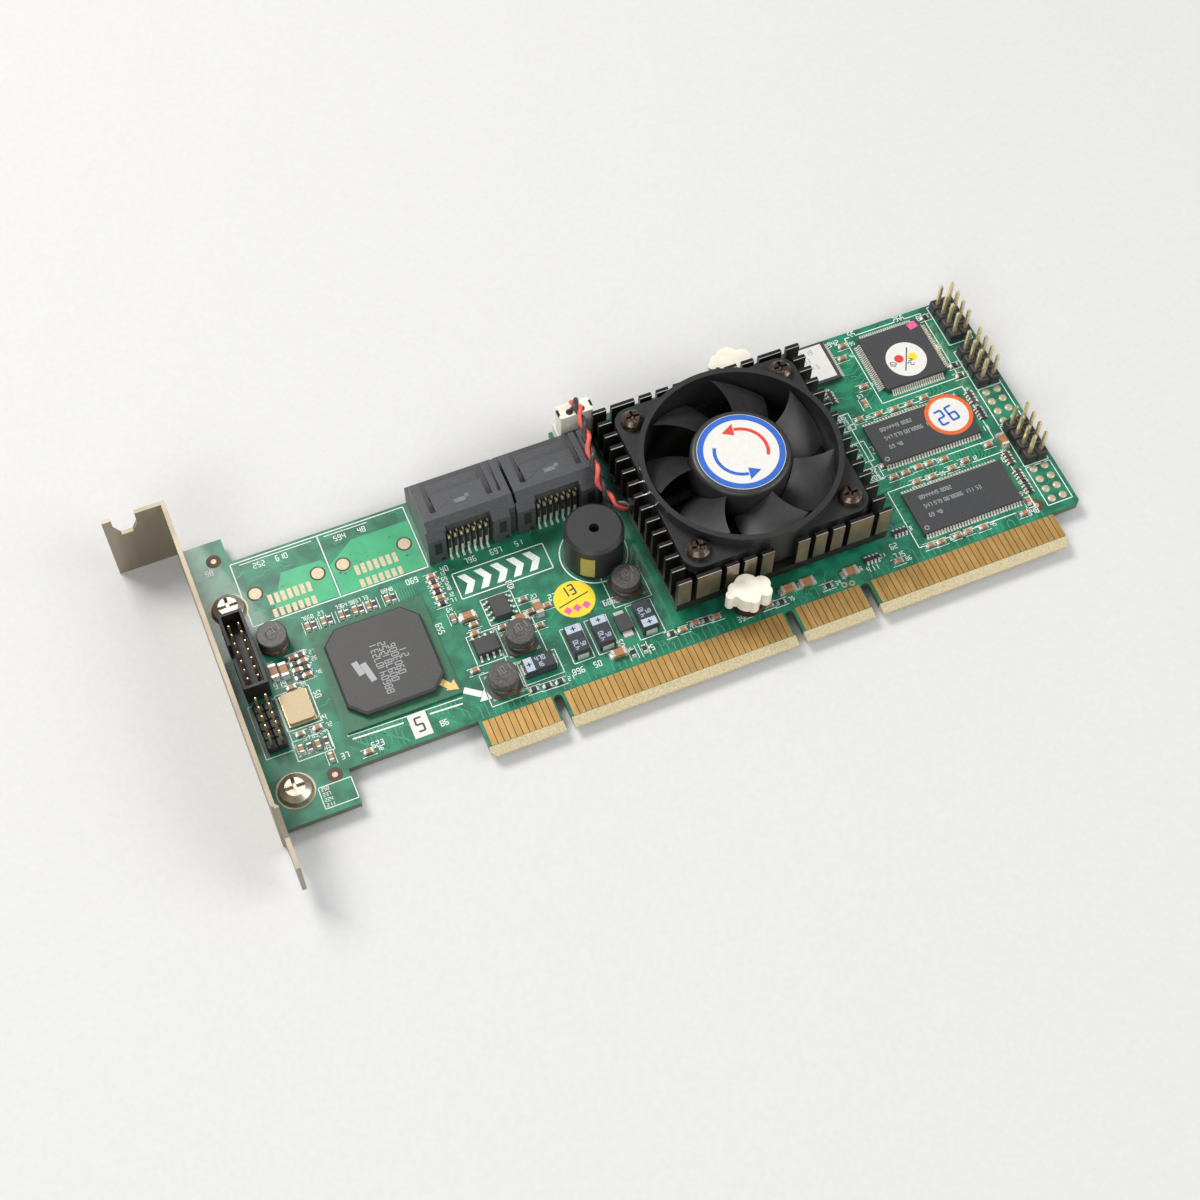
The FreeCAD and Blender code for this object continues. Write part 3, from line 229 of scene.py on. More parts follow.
SOLDER = finish("solder", (0.62, 0.60, 0.55), 0.34, 0.6, grain=3000, bump=0.2)
ZINC = finish("zinc_sheet", (0.30, 0.255, 0.19), 0.48, 0.6, worn=(0.38, 0.33, 0.25), grain=120,
              stretch=(1, 1, 0.15))
NICKEL = finish("nickel", (0.50, 0.44, 0.36), 0.33, 0.9, grain=900)
BRONZE = finish("dark_screw", (0.085, 0.060, 0.048), 0.30, 0.85, worn=(0.22, 0.16, 0.12), grain=1400)
# painted reflection: a warm tan metal tone that stands for the backdrop mirrored in the black fins'
# front faces
FIN_REFLECTION = finish("painted_fin_reflection", (0.30, 0.245, 0.18), 0.34, 0.9, worn=(0.40, 0.33, 0.25), grain=500,
               stretch=(1, 1, 0.4))
CHIP = finish("chip_plastic", (0.040, 0.041, 0.043), 0.52, grain=4000, bump=0.25,
              bump_grain=14000)
CAP = finish("controller_cap", (0.046, 0.046, 0.045), 0.46, grain=3500, bump=0.3,
             bump_grain=12000)
SUBSTRATE = finish("substrate", (0.018, 0.120, 0.055), 0.38, coat=0.2)
MARK = finish("laser_mark", (0.36, 0.37, 0.37), 0.6, grain=5000)
BLACK = finish("black_plastic", (0.020, 0.020, 0.021), 0.46, grain=2200, bump=0.2,
               bump_grain=9000)
EMBLEM = finish("moulded_mark", (0.16, 0.165, 0.17), 0.35, grain=1800)
SOCKET = finish("socket_plastic", (0.058, 0.060, 0.064), 0.40, grain=1800, bump=0.2)
NYLON = finish("white_nylon", (0.78, 0.74, 0.63), 0.38, grain=500, bump=0.04, contrast=0.06)
ANODISED = finish("black_anodised", (0.020, 0.017, 0.015), 0.33, 0.5, grain=1200, bump=0.15,
                  contrast=0.3)
# painted highlight: a bright metal strip on each fin's top edge stands for the light caught there
FIN_HIGHLIGHT = finish("painted_fin_highlight", (0.78, 0.77, 0.75), 0.30, 1.0, grain=3000)
FAN_BLACK = finish("fan_plastic", (0.018, 0.018, 0.019), 0.38, grain=900, bump=0.12)
BLADE = finish("blade_plastic", (0.026, 0.026, 0.027), 0.42, grain=700, bump=0.1)
LABEL = finish("label_paper", (0.66, 0.65, 0.61), 0.5, grain=1500, contrast=0.04)
BLUE = finish("blue_print", (0.020, 0.110, 0.47), 0.5, grain=2000)
RED = finish("red_print", (0.60, 0.045, 0.03), 0.5, grain=2000)
ORANGE = finish("orange_print", (0.68, 0.11, 0.02), 0.5, grain=2000)
YELLOW = finish("yellow_paper", (0.76, 0.60, 0.02), 0.5, grain=1500, contrast=0.06)
PINK = finish("pink_mark", (0.72, 0.10, 0.30), 0.5, grain=2500)
OLIVE = finish("olive_tape", (0.42, 0.38, 0.10), 0.45, grain=2000)
FERRITE = finish("ferrite", (0.062, 0.058, 0.053), 0.40, worn=(0.12, 0.11, 0.10), grain=2600,
                 bump=0.3)
CHOKE_PRINT = finish("choke_print", (0.20, 0.19, 0.18), 0.6, grain=2500)
COPPER = finish("enamelled_copper", (0.62, 0.27, 0.12), 0.30, 0.9, grain=1800)
TANTALUM = finish("tantalum_case", (0.026, 0.031, 0.038), 0.42, grain=2500, bump=0.2)
BAND = finish("capacitor_band", (0.40, 0.47, 0.55), 0.5, grain=3000)
CERAMIC = finish("ceramic", (0.36, 0.165, 0.070), 0.40, worn=(0.44, 0.24, 0.12), grain=2500)
PALE_CERAMIC = finish("pale_ceramic", (0.23, 0.165, 0.105), 0.40, worn=(0.30, 0.23, 0.16), grain=2500)
RESISTOR = finish("resistor_glaze", (0.030, 0.030, 0.035), 0.30, grain=2500)
CAN = finish("oscillator_metal", (0.40, 0.32, 0.20), 0.42, 0.4, grain=2600, bump=0.05,
             contrast=0.06)
CAN_EDGE = finish("oscillator_rim", (0.70, 0.55, 0.30), 0.30, 0.8, grain=1400)
WIRE_RED = finish("red_wire", (0.66, 0.10, 0.07), 0.42, grain=1500)
WIRE_BLACK = finish("black_wire", (0.035, 0.035, 0.037), 0.42, grain=1500)
# painted shade: a near-black finish for flat discs and sheets that stand for the shade inside holes,
# slots and windows
HOLE_SHADE = finish("painted_hole_shade", (0.010, 0.012, 0.011), 0.8)


# ------------------------------------------------ mesh helpers

def link_object(name, data):
    thing = bpy.data.objects.new(name, data)
    bpy.context.scene.collection.objects.link(thing)
    return thing


def soften(thing, smooth, bevel):
    """Smooth faces that meet at less than an angle, and round the sharp edges between others."""
    if smooth:
        thing.data.shade_smooth()
        thing.data.set_sharp_from_angle(angle=radians(smooth))
    if bevel:
        rounder = thing.modifiers.new("edge", "BEVEL")
        rounder.width = bevel * MM
        rounder.segments = 2
        rounder.limit_method = "ANGLE"
        rounder.angle_limit = radians(40)


def turned(x, y, turn, u, v):
    """The place u along and v across, on a part that stands at x and y and is turned."""
    c = cos(radians(turn))
    s = sin(radians(turn))
    return x + c * u - s * v, y + s * u + c * v


def turned_rectangle(x, y, length, width, turn):
    return [turned(x, y, turn, u * length / 2, v * width / 2)
            for u, v in ((-1, -1), (1, -1), (1, 1), (-1, 1))]


def disc(x, y, radius, steps=40):
    return [(x + radius * cos(2 * pi * n / steps), y + radius * sin(2 * pi * n / steps))
            for n in range(steps)]


class Form:
    """Collects vertices in millimetres and faces, then makes one object of them.

    A flat shape that is given no heights lies in the form's own layer.
    """

    def __init__(self, low=0.0, high=0.0):
        self.layer = (low, high)
        self.points = []
        self.faces = []

    def add(self, points, faces):
        first = len(self.points)
        self.points += [tuple(point) for point in points]
        self.faces += [[first + index for index in face] for face in faces]

    def skin(self, rings, closed=False):
        """A skin over a row of rings of points, which has end caps or joins up with its start."""
        rows = len(rings)
        count = len(rings[0])
        faces = []
        for row in range(rows if closed else rows - 1):
            a = row * count
            b = (row + 1) % rows * count
            for n in range(count):
                after = (n + 1) % count
                faces.append([a + n, a + after, b + after, b + n])
        if not closed:
            faces.append(list(range(count))[::-1])
            faces.append([(rows - 1) * count + n for n in range(count)])
        self.add([point for ring in rings for point in ring], faces)

    def prism(self, outline, layer=None, top=None):
        """An outline raised through a layer; top is another outline, for a taper."""
        low, high = layer or self.layer
        self.skin([[(x, y, low) for x, y in outline], [(x, y, high) for x, y in top or outline]])

    def block(self, x, y, low, length, width, height, turn=0.0, taper=0.0):
        """A block centred on x and y, turned about its middle and narrower at its top."""
        self.prism(turned_rectangle(x, y, length, width, turn), (low, low + height),
                   turned_rectangle(x, y, length - 2 * taper, width - 2 * taper, turn))

    def lathe(self, x, y, profile, steps=32):
        """A profile of (radius, height) turned about a vertical axis, closed at both ends."""
        self.skin([[(u, v, height) for u, v in disc(x, y, radius, steps)]
                   for radius, height in profile])

    def ring(self, x, y, inner, outer, steps=24, layer=None):
        """A flat ring."""
        self.band(x, y, inner, outer, 0, 360, steps, layer)

    def band(self, x, y, inner, outer, start, stop, steps=24, layer=None):
        """A stretch of a flat ring, from one angle to another, in degrees."""
        low, high = layer or self.layer
        whole = stop - start >= 360
        rings = []
        for n in range(steps if whole else steps + 1):
            angle = radians(start + (stop - start) * n / steps)
            rings.append([(x + radius * cos(angle), y + radius * sin(angle), height)
                          for radius, height in ((inner, low), (inner, high), (outer, high),
                                                 (outer, low))])
        self.skin(rings, whole)

    def ribbon(self, route, width, layer=None):
        """A flat strip of one width along a route of straight runs, with mitred corners."""
        route = [spot for n, spot in enumerate(route)
                 if not n or hypot(spot[0] - route[n - 1][0], spot[1] - route[n - 1][1]) > 1e-6]
        normals = []
        for (x0, y0), (x1, y1) in zip(route, route[1:]):
            run = hypot(x1 - x0, y1 - y0)
            normals.append(((y0 - y1) / run, (x1 - x0) / run))
        edges = []
        for n, (x, y) in enumerate(route):
            near = normals[max(0, n - 1):n + 1]
            side_x = sum(normal[0] for normal in near) / len(near)
            side_y = sum(normal[1] for normal in near) / len(near)
            reach = width / 2 / max(0.5, side_x ** 2 + side_y ** 2)
            edges.append([(x + side * side_x * reach, y + side * side_y * reach)
                          for side in (-1, 1)])
        for (right, left), (next_right, next_left) in zip(edges, edges[1:]):
            self.prism([right, next_right, next_left, left], layer)

    def frame_line(self, x0, y0, x1, y1, width):
        """The four sides of a rectangle, as lines."""
        for y in (y0, y1):
            self.ribbon([(x0, y), (x1, y)], width)
        for x in (x0, x1):
            self.ribbon([(x, y0), (x, y1)], width)

    def mesh(self, name):
        mesh = bpy.data.meshes.new(name)
        mesh.from_pydata([(x * MM, y * MM, z * MM) for x, y, z in self.points], [], self.faces)
        return mesh

    def piece(self, name, material, slot, body=CARD, bevel=0.0, smooth=35, stands_for=()):
        mesh = self.mesh(name)
        mesh.validate()
        mesh.update()
        thing = link_object(name, mesh)
        mesh.materials.append(material)
        soften(thing, smooth, bevel)
        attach(thing, body)
        if stands_for:
            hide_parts(*stands_for)
        return thing


def dress(material, *names, smooth=35, bevel=0.0):
    """Give CAD nodes their finish, smooth their round faces and soften their edges."""
    for name in names:
        thing = nodes[name]
        if not thing.data.materials:
            thing.data.materials.append(material)
        for place in thing.material_slots:
            place.material = material
        soften(thing, smooth, bevel)


def carve(name, node, cutter_form, material, bevel):
    """A CAD node with further recesses cut into it, as a piece of its own."""
    source = nodes[node]
    work = bmesh.new()
    work.from_mesh(source.data)
    work.transform(source.matrix_world)
    bmesh.ops.remove_doubles(work, verts=work.verts, dist=0.002 * MM)
    bmesh.ops.recalc_face_normals(work, faces=work.faces)
    mesh = bpy.data.meshes.new(name)
    work.to_mesh(mesh)
    work.free()
    thing = link_object(name, mesh)
    tool = link_object(name + "_tool", cutter_form.mesh(name + "_tool"))
    cutter = thing.modifiers.new("cut", "BOOLEAN")
    cutter.operation = "DIFFERENCE"
    cutter.solver = "EXACT"
    cutter.use_self = True
    cutter.object = tool
    bpy.context.view_layer.update()
    graph = bpy.context.evaluated_depsgraph_get()
    cut_mesh = bpy.data.meshes.new_from_object(thing.evaluated_get(graph))
    thing.modifiers.clear()
    thing.data = cut_mesh
    cut_mesh.materials.clear()
    cut_mesh.materials.append(material)
    bpy.data.objects.remove(tool)
    cut_mesh.shade_flat()
    soften(thing, 0, bevel)
    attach(thing, CARD)
    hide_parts(node)


# ------------------------------------------------ the printed and plated board

INK_LAYER = (FACE + 0.012, FACE + 0.035)
TRACK_LAYER = (FACE + 0.002, FACE + 0.012)
PLATE_LAYER = (FACE, FACE + 0.03)
RING_LAYER = (FACE + 0.004, FACE + 0.014)
INK_WEIGHT = 0.15
SEGMENTS = {"0": "abcdef", "1": "bc", "2": "abged", "3": "abgcd", "4": "fgbc", "5": "afgcd",
            "6": "afgedc", "7": "abc", "8": "abcdefg", "9": "abfgcd"}
STROKES = {"a": (0, 2, 1, 2), "b": (1, 1, 1, 2), "c": (1, 0, 1, 1), "d": (0, 0, 1, 0),
           "e": (0, 0, 0, 1), "f": (0, 1, 0, 2), "g": (0, 1, 1, 1)}


def number(form, digits, x, y, height, turn=0, weight=0.14, layer=None):
    """A plain number drawn with straight strokes, from its lower left corner."""
    half = height / 2
    for place, digit in enumerate(digits):
        for stroke in SEGMENTS[digit]:
            u0, v0, u1, v1 = STROKES[stroke]
            ends = [turned(x, y, turn, (place * 1.5 + u * 0.9) * half, v * half)
                    for u, v in ((u0, v0), (u1, v1))]
            form.ribbon(ends, weight * height, layer)


SPANS = {name: span(name) for name in nodes}
LARGE_PARTS = ("controller_substrate", "battery_header_shroud", "service_header_base",
               "drive_socket_1", "drive_socket_2", "buzzer_case", "memory_chip_1",
               "memory_chip_2", "logic_chip", "flash_chip", "oscillator_can", "fan_header",
               "bracket_screw_1", "bracket_screw_2", "choke_small")


def blocked(x, y, margin=0.0):
    """True where a larger part or the heatsink covers the board."""
    for name in LARGE_PARTS:
        low, high = SPANS[name]
        if low.x - margin < x < high.x + margin and low.y - margin < y < high.y + margin:
            return True
    return abs(x - FAN_X) < 22.5 + margin and abs(y - FAN_Y) < 21.5 + margin


# the first and the last contact of each stretch between the keys, counted in pitches, and how
# far the stretch is shifted
CONTACT_RUNS = ((1, 11, 0.0), (14, 49, 0.0), (52, 62, 0.0), (63, 94, FINGER_SHIFT))


def finger_places():
    return [FINGER_PITCH * step + shift for first, last, shift in CONTACT_RUNS
            for step in range(first, last + 1)]


def build_fingers():
    """Gold contact strips on both faces, over the brown laminate that shows between them."""
    strips = Form()
    gaps = Form()
    low, high = SPANS["edge_contacts"]
    y = middle("edge_contacts").y
    length = high.y - low.y
    for x in finger_places():
        for base in (FACE, BACK - STRIP_THICKNESS):
            strips.block(x, y, base, 1.09, length, STRIP_THICKNESS)
    for first, last, shift in CONTACT_RUNS:
        gaps.block((first + last) / 2 * FINGER_PITCH + shift, y, FACE + 0.001,
                   (last - first) * FINGER_PITCH, length, 0.01)
    strips.piece("contact_strips", GOLD, "gold_contact", stands_for=("edge_contacts",))
    gaps.piece("contact_gaps", GAP, "board_green", smooth=0)


# how many tracks, where the first starts, the step to the next, their route and their width:
# towards the drive sockets, between the memory chips, above them and beside the logic chip
TRACK_ROWS = (
    (10, -6.5, 38.0, 0.55, 0, ((0, 0), (0, 2.2), (1.6, 3.8)), 0.2),
    (26, 97.2, 23.6, 0.8, 0, ((0, 0), (0, 1.4), (0.7, 2.1), (0.7, 5.2)), 0.18),
    (18, 98.5, 41.2, 1.0, 0, ((0, 0), (0, 1.2), (0.8, 2.0), (0.8, 3.4)), 0.18),
    (9, 98.9, 46.0, 0, 1.5, ((0, 0), (2.1, 0), (3.3, 0.9), (4.3, 0.9)), 0.18))


def build_traces():
    """Copper tracks under the mask: fans from the contacts, rows beside the chips, and vias."""
    rand = random.Random(7)
    tracks = Form(*TRACK_LAYER)
    rings = Form(FACE + 0.004, FACE + 0.03)
    holes = Form(FACE + 0.004, FACE + 0.02)

    def via(x, y, radius=0.30):
        rings.ring(x, y, radius * 0.45, radius, 10)
        # painted shade: a dark disc inside each ring stands for the via's hole
        holes.prism(disc(x, y, radius * 0.45, 8))

    for x in finger_places():
        rise = rand.choice((0.9, 1.6, 2.3, 3.2))
        lean = rand.choice((-0.9, -0.5, 0.5, 0.9, 0))
        top = 8.2 + rise
        if x > 121 or blocked(x + lean, top + abs(lean) + 0.4, 0.3):
            continue
        tracks.ribbon([(x, 7.9), (x, top), (x + lean, top + abs(lean))], 0.2)
        via(x + lean, top + abs(lean) + 0.1)
    for lanes, x, y, step_x, step_y, route, width in TRACK_ROWS:
        for lane in range(lanes):
            tracks.ribbon([(x + lane * step_x + u, y + lane * step_y + v) for u, v in route],
                          width)
    # straight and slanted runs from the controller towards the contacts
    for lane in range(22):
        x = -22.5 + lane * 0.95
        drop = 1.2 + (lane % 5) * 0.7
        if -12.5 < x < -8.0:
            continue
        end = max(8.6, 11.0 - drop)
        tracks.ribbon([(x, 13.9), (x, 13.9 - drop), (x + 1.6, 12.3 - drop), (x + 1.6, end)], 0.2)
        if lane % 2:
            via(x + 1.6, end - 0.1)
    # a row beside the heatsink, which jogs to and fro
    for lane in range(24):
        y = 14.5 + lane * 1.05
        jog = 1.4 if lane % 4 < 2 else -1.0
        tracks.ribbon([(88.9, y), (90.6, y), (92.0, y + jog), (95.2, y + jog)], 0.18)
        if lane % 3 == 0:
            via(95.4, y + jog, 0.26)
    # scattered vias and short tracks where the board is open
    for step in range(520):
        x = rand.uniform(-38, 127)
        y = rand.uniform(9.0, 63)
        by_the_bracket = x < -33.0 and y > 50
        over_the_sockets = y > 57.5 and x < 37
        in_the_panel = 5 < x < 30 and 31 < y < 42
        if by_the_bracket or over_the_sockets or in_the_panel or blocked(x, y, 0.9):
            continue
        via(x, y, rand.choice((0.22, 0.26, 0.3)))
        if step % 2:
            half_way = x + rand.uniform(1.0, 3.2) * 0.5
            end_x = 2 * half_way - x
            end_y = y + 0.8 * rand.choice((-1, 1))
            if end_x < 127 and 9 < end_y < 62 and not blocked(end_x, end_y, 0.4):
                tracks.ribbon([(x + 0.3, y), (half_way, y), (half_way + 0.8, end_y),
                               (end_x + 0.6, end_y)], 0.18)
    tracks.piece("copper_tracks", TRACE, "board_green", smooth=0)
    rings.piece("via_rings", TRACE, "board_green", smooth=0)
    holes.piece("via_hole_shade", HOLE_SHADE, "board_green", smooth=0)


# kind, turn and places of the chip resistors, resistor arrays and ceramic capacitors
SMALL_GROUPS = [
    ("array", 90, [(93.6, 49.4), (120.5, 38.8), (120.5, 34.6), (120.5, 22.5), (120.6, 17.9),
                   (120.7, 15.0)]),
    ("array", 0, [(92.1, 15.2), (84.3, 11.7)]),
    ("large", 90, [(-32.2, 31.9), (-30.3, 31.6), (121.4, 26.8)]),
    ("large", 0, [(78.9, 10.6), (6.1, 29.4), (15.3, 25.1)]),
    ("large", 90, [(19.4, 26.1)]),
    ("large", 0, [(30.0, 11.0), (66.0, 11.6), (70.0, 11.6)]),
    ("capacitor", 0, [
        (100.9, 42.2), (104.6, 42.1), (107.8, 42.1), (111.4, 42.4), (101.1, 49.5), (101.6, 60.5),
        (100.2, 57.7), (96.9, 27.2), (99.6, 27.3), (102.6, 27.5), (105.0, 27.5), (108.3, 27.3),
        (118.3, 27.0), (100.7, 24.5), (104.2, 24.4), (108.8, 24.7), (112.0, 25.3), (96.4, 10.1),
        (98.7, 10.0), (102.5, 10.1), (104.7, 10.1), (108.1, 9.9), (117.2, 9.7), (6.6, 27.4),
        (6.1, 25.4), (21.2, 26.0), (3.3, 17.9), (43.4, 11.2), (46.2, 11.6), (50.6, 11.3),
        (2.7, 40.5), (2.7, 38.0), (2.7, 35.4), (-27.9, 33.7), (-26.3, 32.2), (-27.9, 30.7),
        (-26.3, 29.1), (-30.1, 27.6), (-28.2, 17.8), (-21.0, 9.5), (56.6, 9.6), (61.0, 9.8),
        (88.9, 9.2)]),
    ("pale", 0, [(-31.6, 17.7), (11.5, 24.7), (17.4, 29.0), (17.7, 25.9), (18.3, 22.4),
                 (96.6, 42.4), (96.4, 30.4), (97.0, 34.8)]),
    ("resistor", 0, [
        (2.7, 39.2), (2.7, 36.9), (2.7, 34.1), (-26.3, 33.7), (-27.9, 32.2), (-26.3, 30.7),
        (-27.9, 29.1), (12.2, 10.0), (14.9, 9.8), (17.4, 9.7), (41.2, 11.2), (48.5, 11.5),
        (121.0, 44.6), (121.0, 47.4), (121.0, 60.8), (73.6, 9.4), (63.6, 9.6)]),
    ("capacitor", 90, [(x, 38.9) for x in (-23.1, -19.9, -16.3, -13.5, -10.8, -6.9)]
     + [(-32.4, 14.7), (-29.2, 14.5), (-27.8, 11.1), (3.4, 30.2), (89.6, 46.0), (99.4, 45.6),
        (119.2, 12.0)]),
    ("resistor", 90, [(x, 38.9) for x in (-21.9, -18.7, -15.1, -12.3, -9.6, -5.7)]
     + [(-30.8, 14.6), (-27.6, 14.7), (32.6, 10.2), (35.0, 10.2), (86.4, 47.9)])]
SMALL_PARTS = [(kind, x, y, turn) for kind, turn, places in SMALL_GROUPS for x, y in places]
# length, width and height of each kind
SMALL_SIZES = {"large": (3.0, 1.5, 1.2), "capacitor": (1.6, 0.85, 0.8),
               "pale": (1.6, 0.85, 0.8), "resistor": (1.6, 0.85, 0.5), "array": (3.2, 1.6, 0.55)}


def build_small_parts():
    """Bodies, silver ends and solder of the small parts, and the white lines beside them."""
    forms = {kind: Form() for kind in SMALL_SIZES}
    ends = Form()
    solder = Form()
    lines = Form(*INK_LAYER)
    low = FACE + 0.04
    for kind, x, y, turn in SMALL_PARTS:
        length, width, height = SMALL_SIZES[kind]
        if kind == "array":
            forms[kind].block(x, y, low, length, width * 0.62, height, turn)
            for u in (-1.2, -0.4, 0.4, 1.2):
                for side in (-1, 1):
                    ends.block(*turned(x, y, turn, u, side * width * 0.38), low, 0.46, 0.42,
                               height + 0.02, turn)
                    solder.block(*turned(x, y, turn, u, side * width * 0.56), FACE, 0.52, 0.5,
                                 0.2, turn, taper=0.1)
            continue
        forms[kind].block(x, y, low, length * 0.62, width, height - 0.05, turn)
        for side in (-1, 1):
            ends.block(*turned(x, y, turn, side * length * 0.40, 0), low, length * 0.2,
                       width * 1.01, height - 0.04, turn)
            solder.block(*turned(x, y, turn, side * length * 0.53, 0), FACE, length * 0.30,
                         width * 1.12, height * 0.42, turn, taper=length * 0.08)
            if kind != "large":
                lines.ribbon([turned(x, y, turn, u * length * 0.92, side * width * 0.95)
                              for u in (-1, 1)], 0.12)
    large = forms["large"].piece("large_ceramics", CERAMIC, "ceramic_tan", bevel=0.08)
    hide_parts("ceramic_capacitors")
    forms["capacitor"].piece("small_ceramics", CERAMIC, "ceramic_tan", bevel=0.05)
    forms["pale"].piece("pale_ceramics", PALE_CERAMIC, "ceramic_tan", bevel=0.05)
    forms["array"].piece("resistor_arrays", RESISTOR, "resistor_black", bevel=0.04)
    chips = forms["resistor"].piece("resistor_bodies", RESISTOR, "resistor_black", bevel=0.04)
    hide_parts("chip_resistors")
    ends.piece("end_caps", SOLDER, "tin_lead", bevel=0.04)
    solder.piece("solder_fillets", SOLDER, "tin_lead", bevel=0.04)
    lines.piece("small_part_lines", INK, "label_white", smooth=0)


# left, low, right and upper edge of each printed frame
POWER_FRAMES = ((9.6, 16.4, 17.6, 25.0), (3.6, 9.6, 11.2, 16.8), (33.2, 20.6, 41.0, 27.9),
                (10.8, 11.4, 19.0, 16.7), (21.4, 12.2, 25.6, 20.1), (26.5, 12.2, 30.9, 20.1),
                (35.1, 12.2, 40.3, 20.1), (4.2, 18.6, 10.2, 25.4), (9.6, 25.9, 15.9, 32.0))
# the low and the upper edge of each frame in the column of far headers
HEADER_FRAMES = ((52.4, 63.0), (40.0, 50.5), (19.6, 30.1), (30.5, 39.9), (9.6, 19.2))
# the four edges of each box of settings, and its rows
SETTING_BOXES = ((-32.1, 1.6, -25.7, 6.1, 4), (-33.7, 12.6, -26.6, 16.8, 1),
                 (-28.9, 28.2, -25.2, 34.7, 4), (92.1, 40.8, 95.2, 44.9, 3),
                 (91.4, 32.6, 95.2, 37.5, 4), (92.0, 27.8, 95.2, 31.0, 2))
# where a plain number stands in place of a part's printed name, by its turn
PRINTED_NUMBERS = (
    (0, [(-37.8, 57.0), (-37.6, 50.6), (-33.0, 28.6), (-27.4, 19.0), (-26.0, 10.0),
         (-20.0, 10.0), (-6.6, 9.4), (-31.6, 41.6), (5.0, 40.8), (10.0, 40.8), (15.4, 40.8),
         (20.6, 40.8), (22.2, 27.0), (27.0, 21.6), (31.6, 21.8), (20.4, 10.0), (24.8, 10.0),
         (34.6, 9.4), (54.2, 8.6), (82.4, 9.2), (88.6, 10.0), (88.9, 12.2), (99.0, 11.8),
         (106.0, 11.8), (113.0, 11.8), (118.0, 9.0), (119.2, 22.2), (119.0, 30.4),
         (119.4, 37.6), (99.0, 61.4), (104.0, 62.2), (114.6, 62.2), (119.4, 60.6),
         (119.4, 52.4), (91.6, 43.4)]),
    (90, [(88.8, 47.0)]),
    (0, [(-2.2, 40.6)]),
    (90, [(-25.4, 31.0), (-25.4, 24.0), (0.9, 28.0), (16.9, 31.8), (31.8, 12.4)]),
    (0, [(33.4, 29.0), (-28.6, 55.4), (-12.0, 55.4), (-24.0, 55.4), (-7.0, 55.4)]))


def build_ink():
    """White print: outlines round the parts, the empty sockets' frames and plain numbers."""
    ink = Form(*INK_LAYER)

    def around(name, gap):
        low, high = SPANS[name]
        ink.frame_line(low.x - gap, low.y - gap, high.x + gap, high.y + gap, 0.18)

    around("oscillator_can", 0.8)
    around("service_header_base", 0.8)
    ink.ribbon([(-23.3, 36.7), (-23.5, 14.1), (-0.9, 13.6)], 0.16)
    for name in ("memory_chip_1", "memory_chip_2", "logic_chip"):
        around(name, 1.9)
    # the frame of the two sockets that this card leaves empty
    ink.frame_line(-32.8, 43.0, 3.0, 57.9, 0.22)
    ink.ribbon([(-15.0, 43.0), (-15.0, 57.9)], 0.22)
    ink.ribbon([(-31.1, 57.2), (-16.3, 57.2)], 0.16)
    ink.ribbon([(-13.8, 57.2), (-4.8, 57.2)], 0.16)
    for x0, y0, x1, y1, count in SETTING_BOXES:
        ink.frame_line(x0, y0, x1, y1, 0.16)
        for row in range(count):
            number(ink, str(207 + 13 * row + count), x0 + 0.5, y0 + (y1 - y0) * (row + 0.22) / count,
                   min(1.1, (y1 - y0) / count * 0.62), 0, INK_WEIGHT)
    buzzer = middle("buzzer_case")
    ink.ring(buzzer.x, buzzer.y, 6.6, 6.85, 48)
    for edges in POWER_FRAMES:
        ink.frame_line(*edges, 0.16)
    for y0, y1 in HEADER_FRAMES:
        ink.frame_line(122.6, y0, 128.1, y1, 0.18)
    # a row of chevrons and two arrows, in place of the maker's panel
    for step in range(5):
        x = 7.4 + step * 3.4
        ink.prism([(x, 34.4), (x + 1.6, 34.4), (x + 3.0, 36.6), (x + 1.6, 38.8), (x, 38.8),
                   (x + 1.4, 36.6)])
    ink.frame_line(6.6, 33.6, 25.6, 39.6, 0.22)
    ink.prism(turned_rectangle(1.3, 13.9, 3.6, 1.3, -36))
    ink.prism([(1.9, 11.5), (4.3, 11.3), (3.5, 13.8)])
    # two long rules under the controller
    ink.ribbon([(-22.9, 13.2), (-13.0, 12.8)], 0.3)
    ink.ribbon([(-7.8, 12.7), (-1.3, 12.4)], 0.3)
    rand = random.Random(3)
    for turn, places in PRINTED_NUMBERS:
        for x, y in places:
            count = rand.choice((2, 3))
            digits = "".join(rand.choice("0123456789") for place in range(count))
            number(ink, digits, x, y, 1.15, turn)
    for kind, x, y, turn in SMALL_PARTS:
        if rand.random() < 0.75:
            digits = "".join(rand.choice("123456789") for place in range(2))
            beside = (x - 0.5, y + 1.7) if turn else (x + 1.7, y - 0.4)
            number(ink, digits, *beside, 0.85)
    ink.piece("board_print", INK, "label_white", smooth=0)


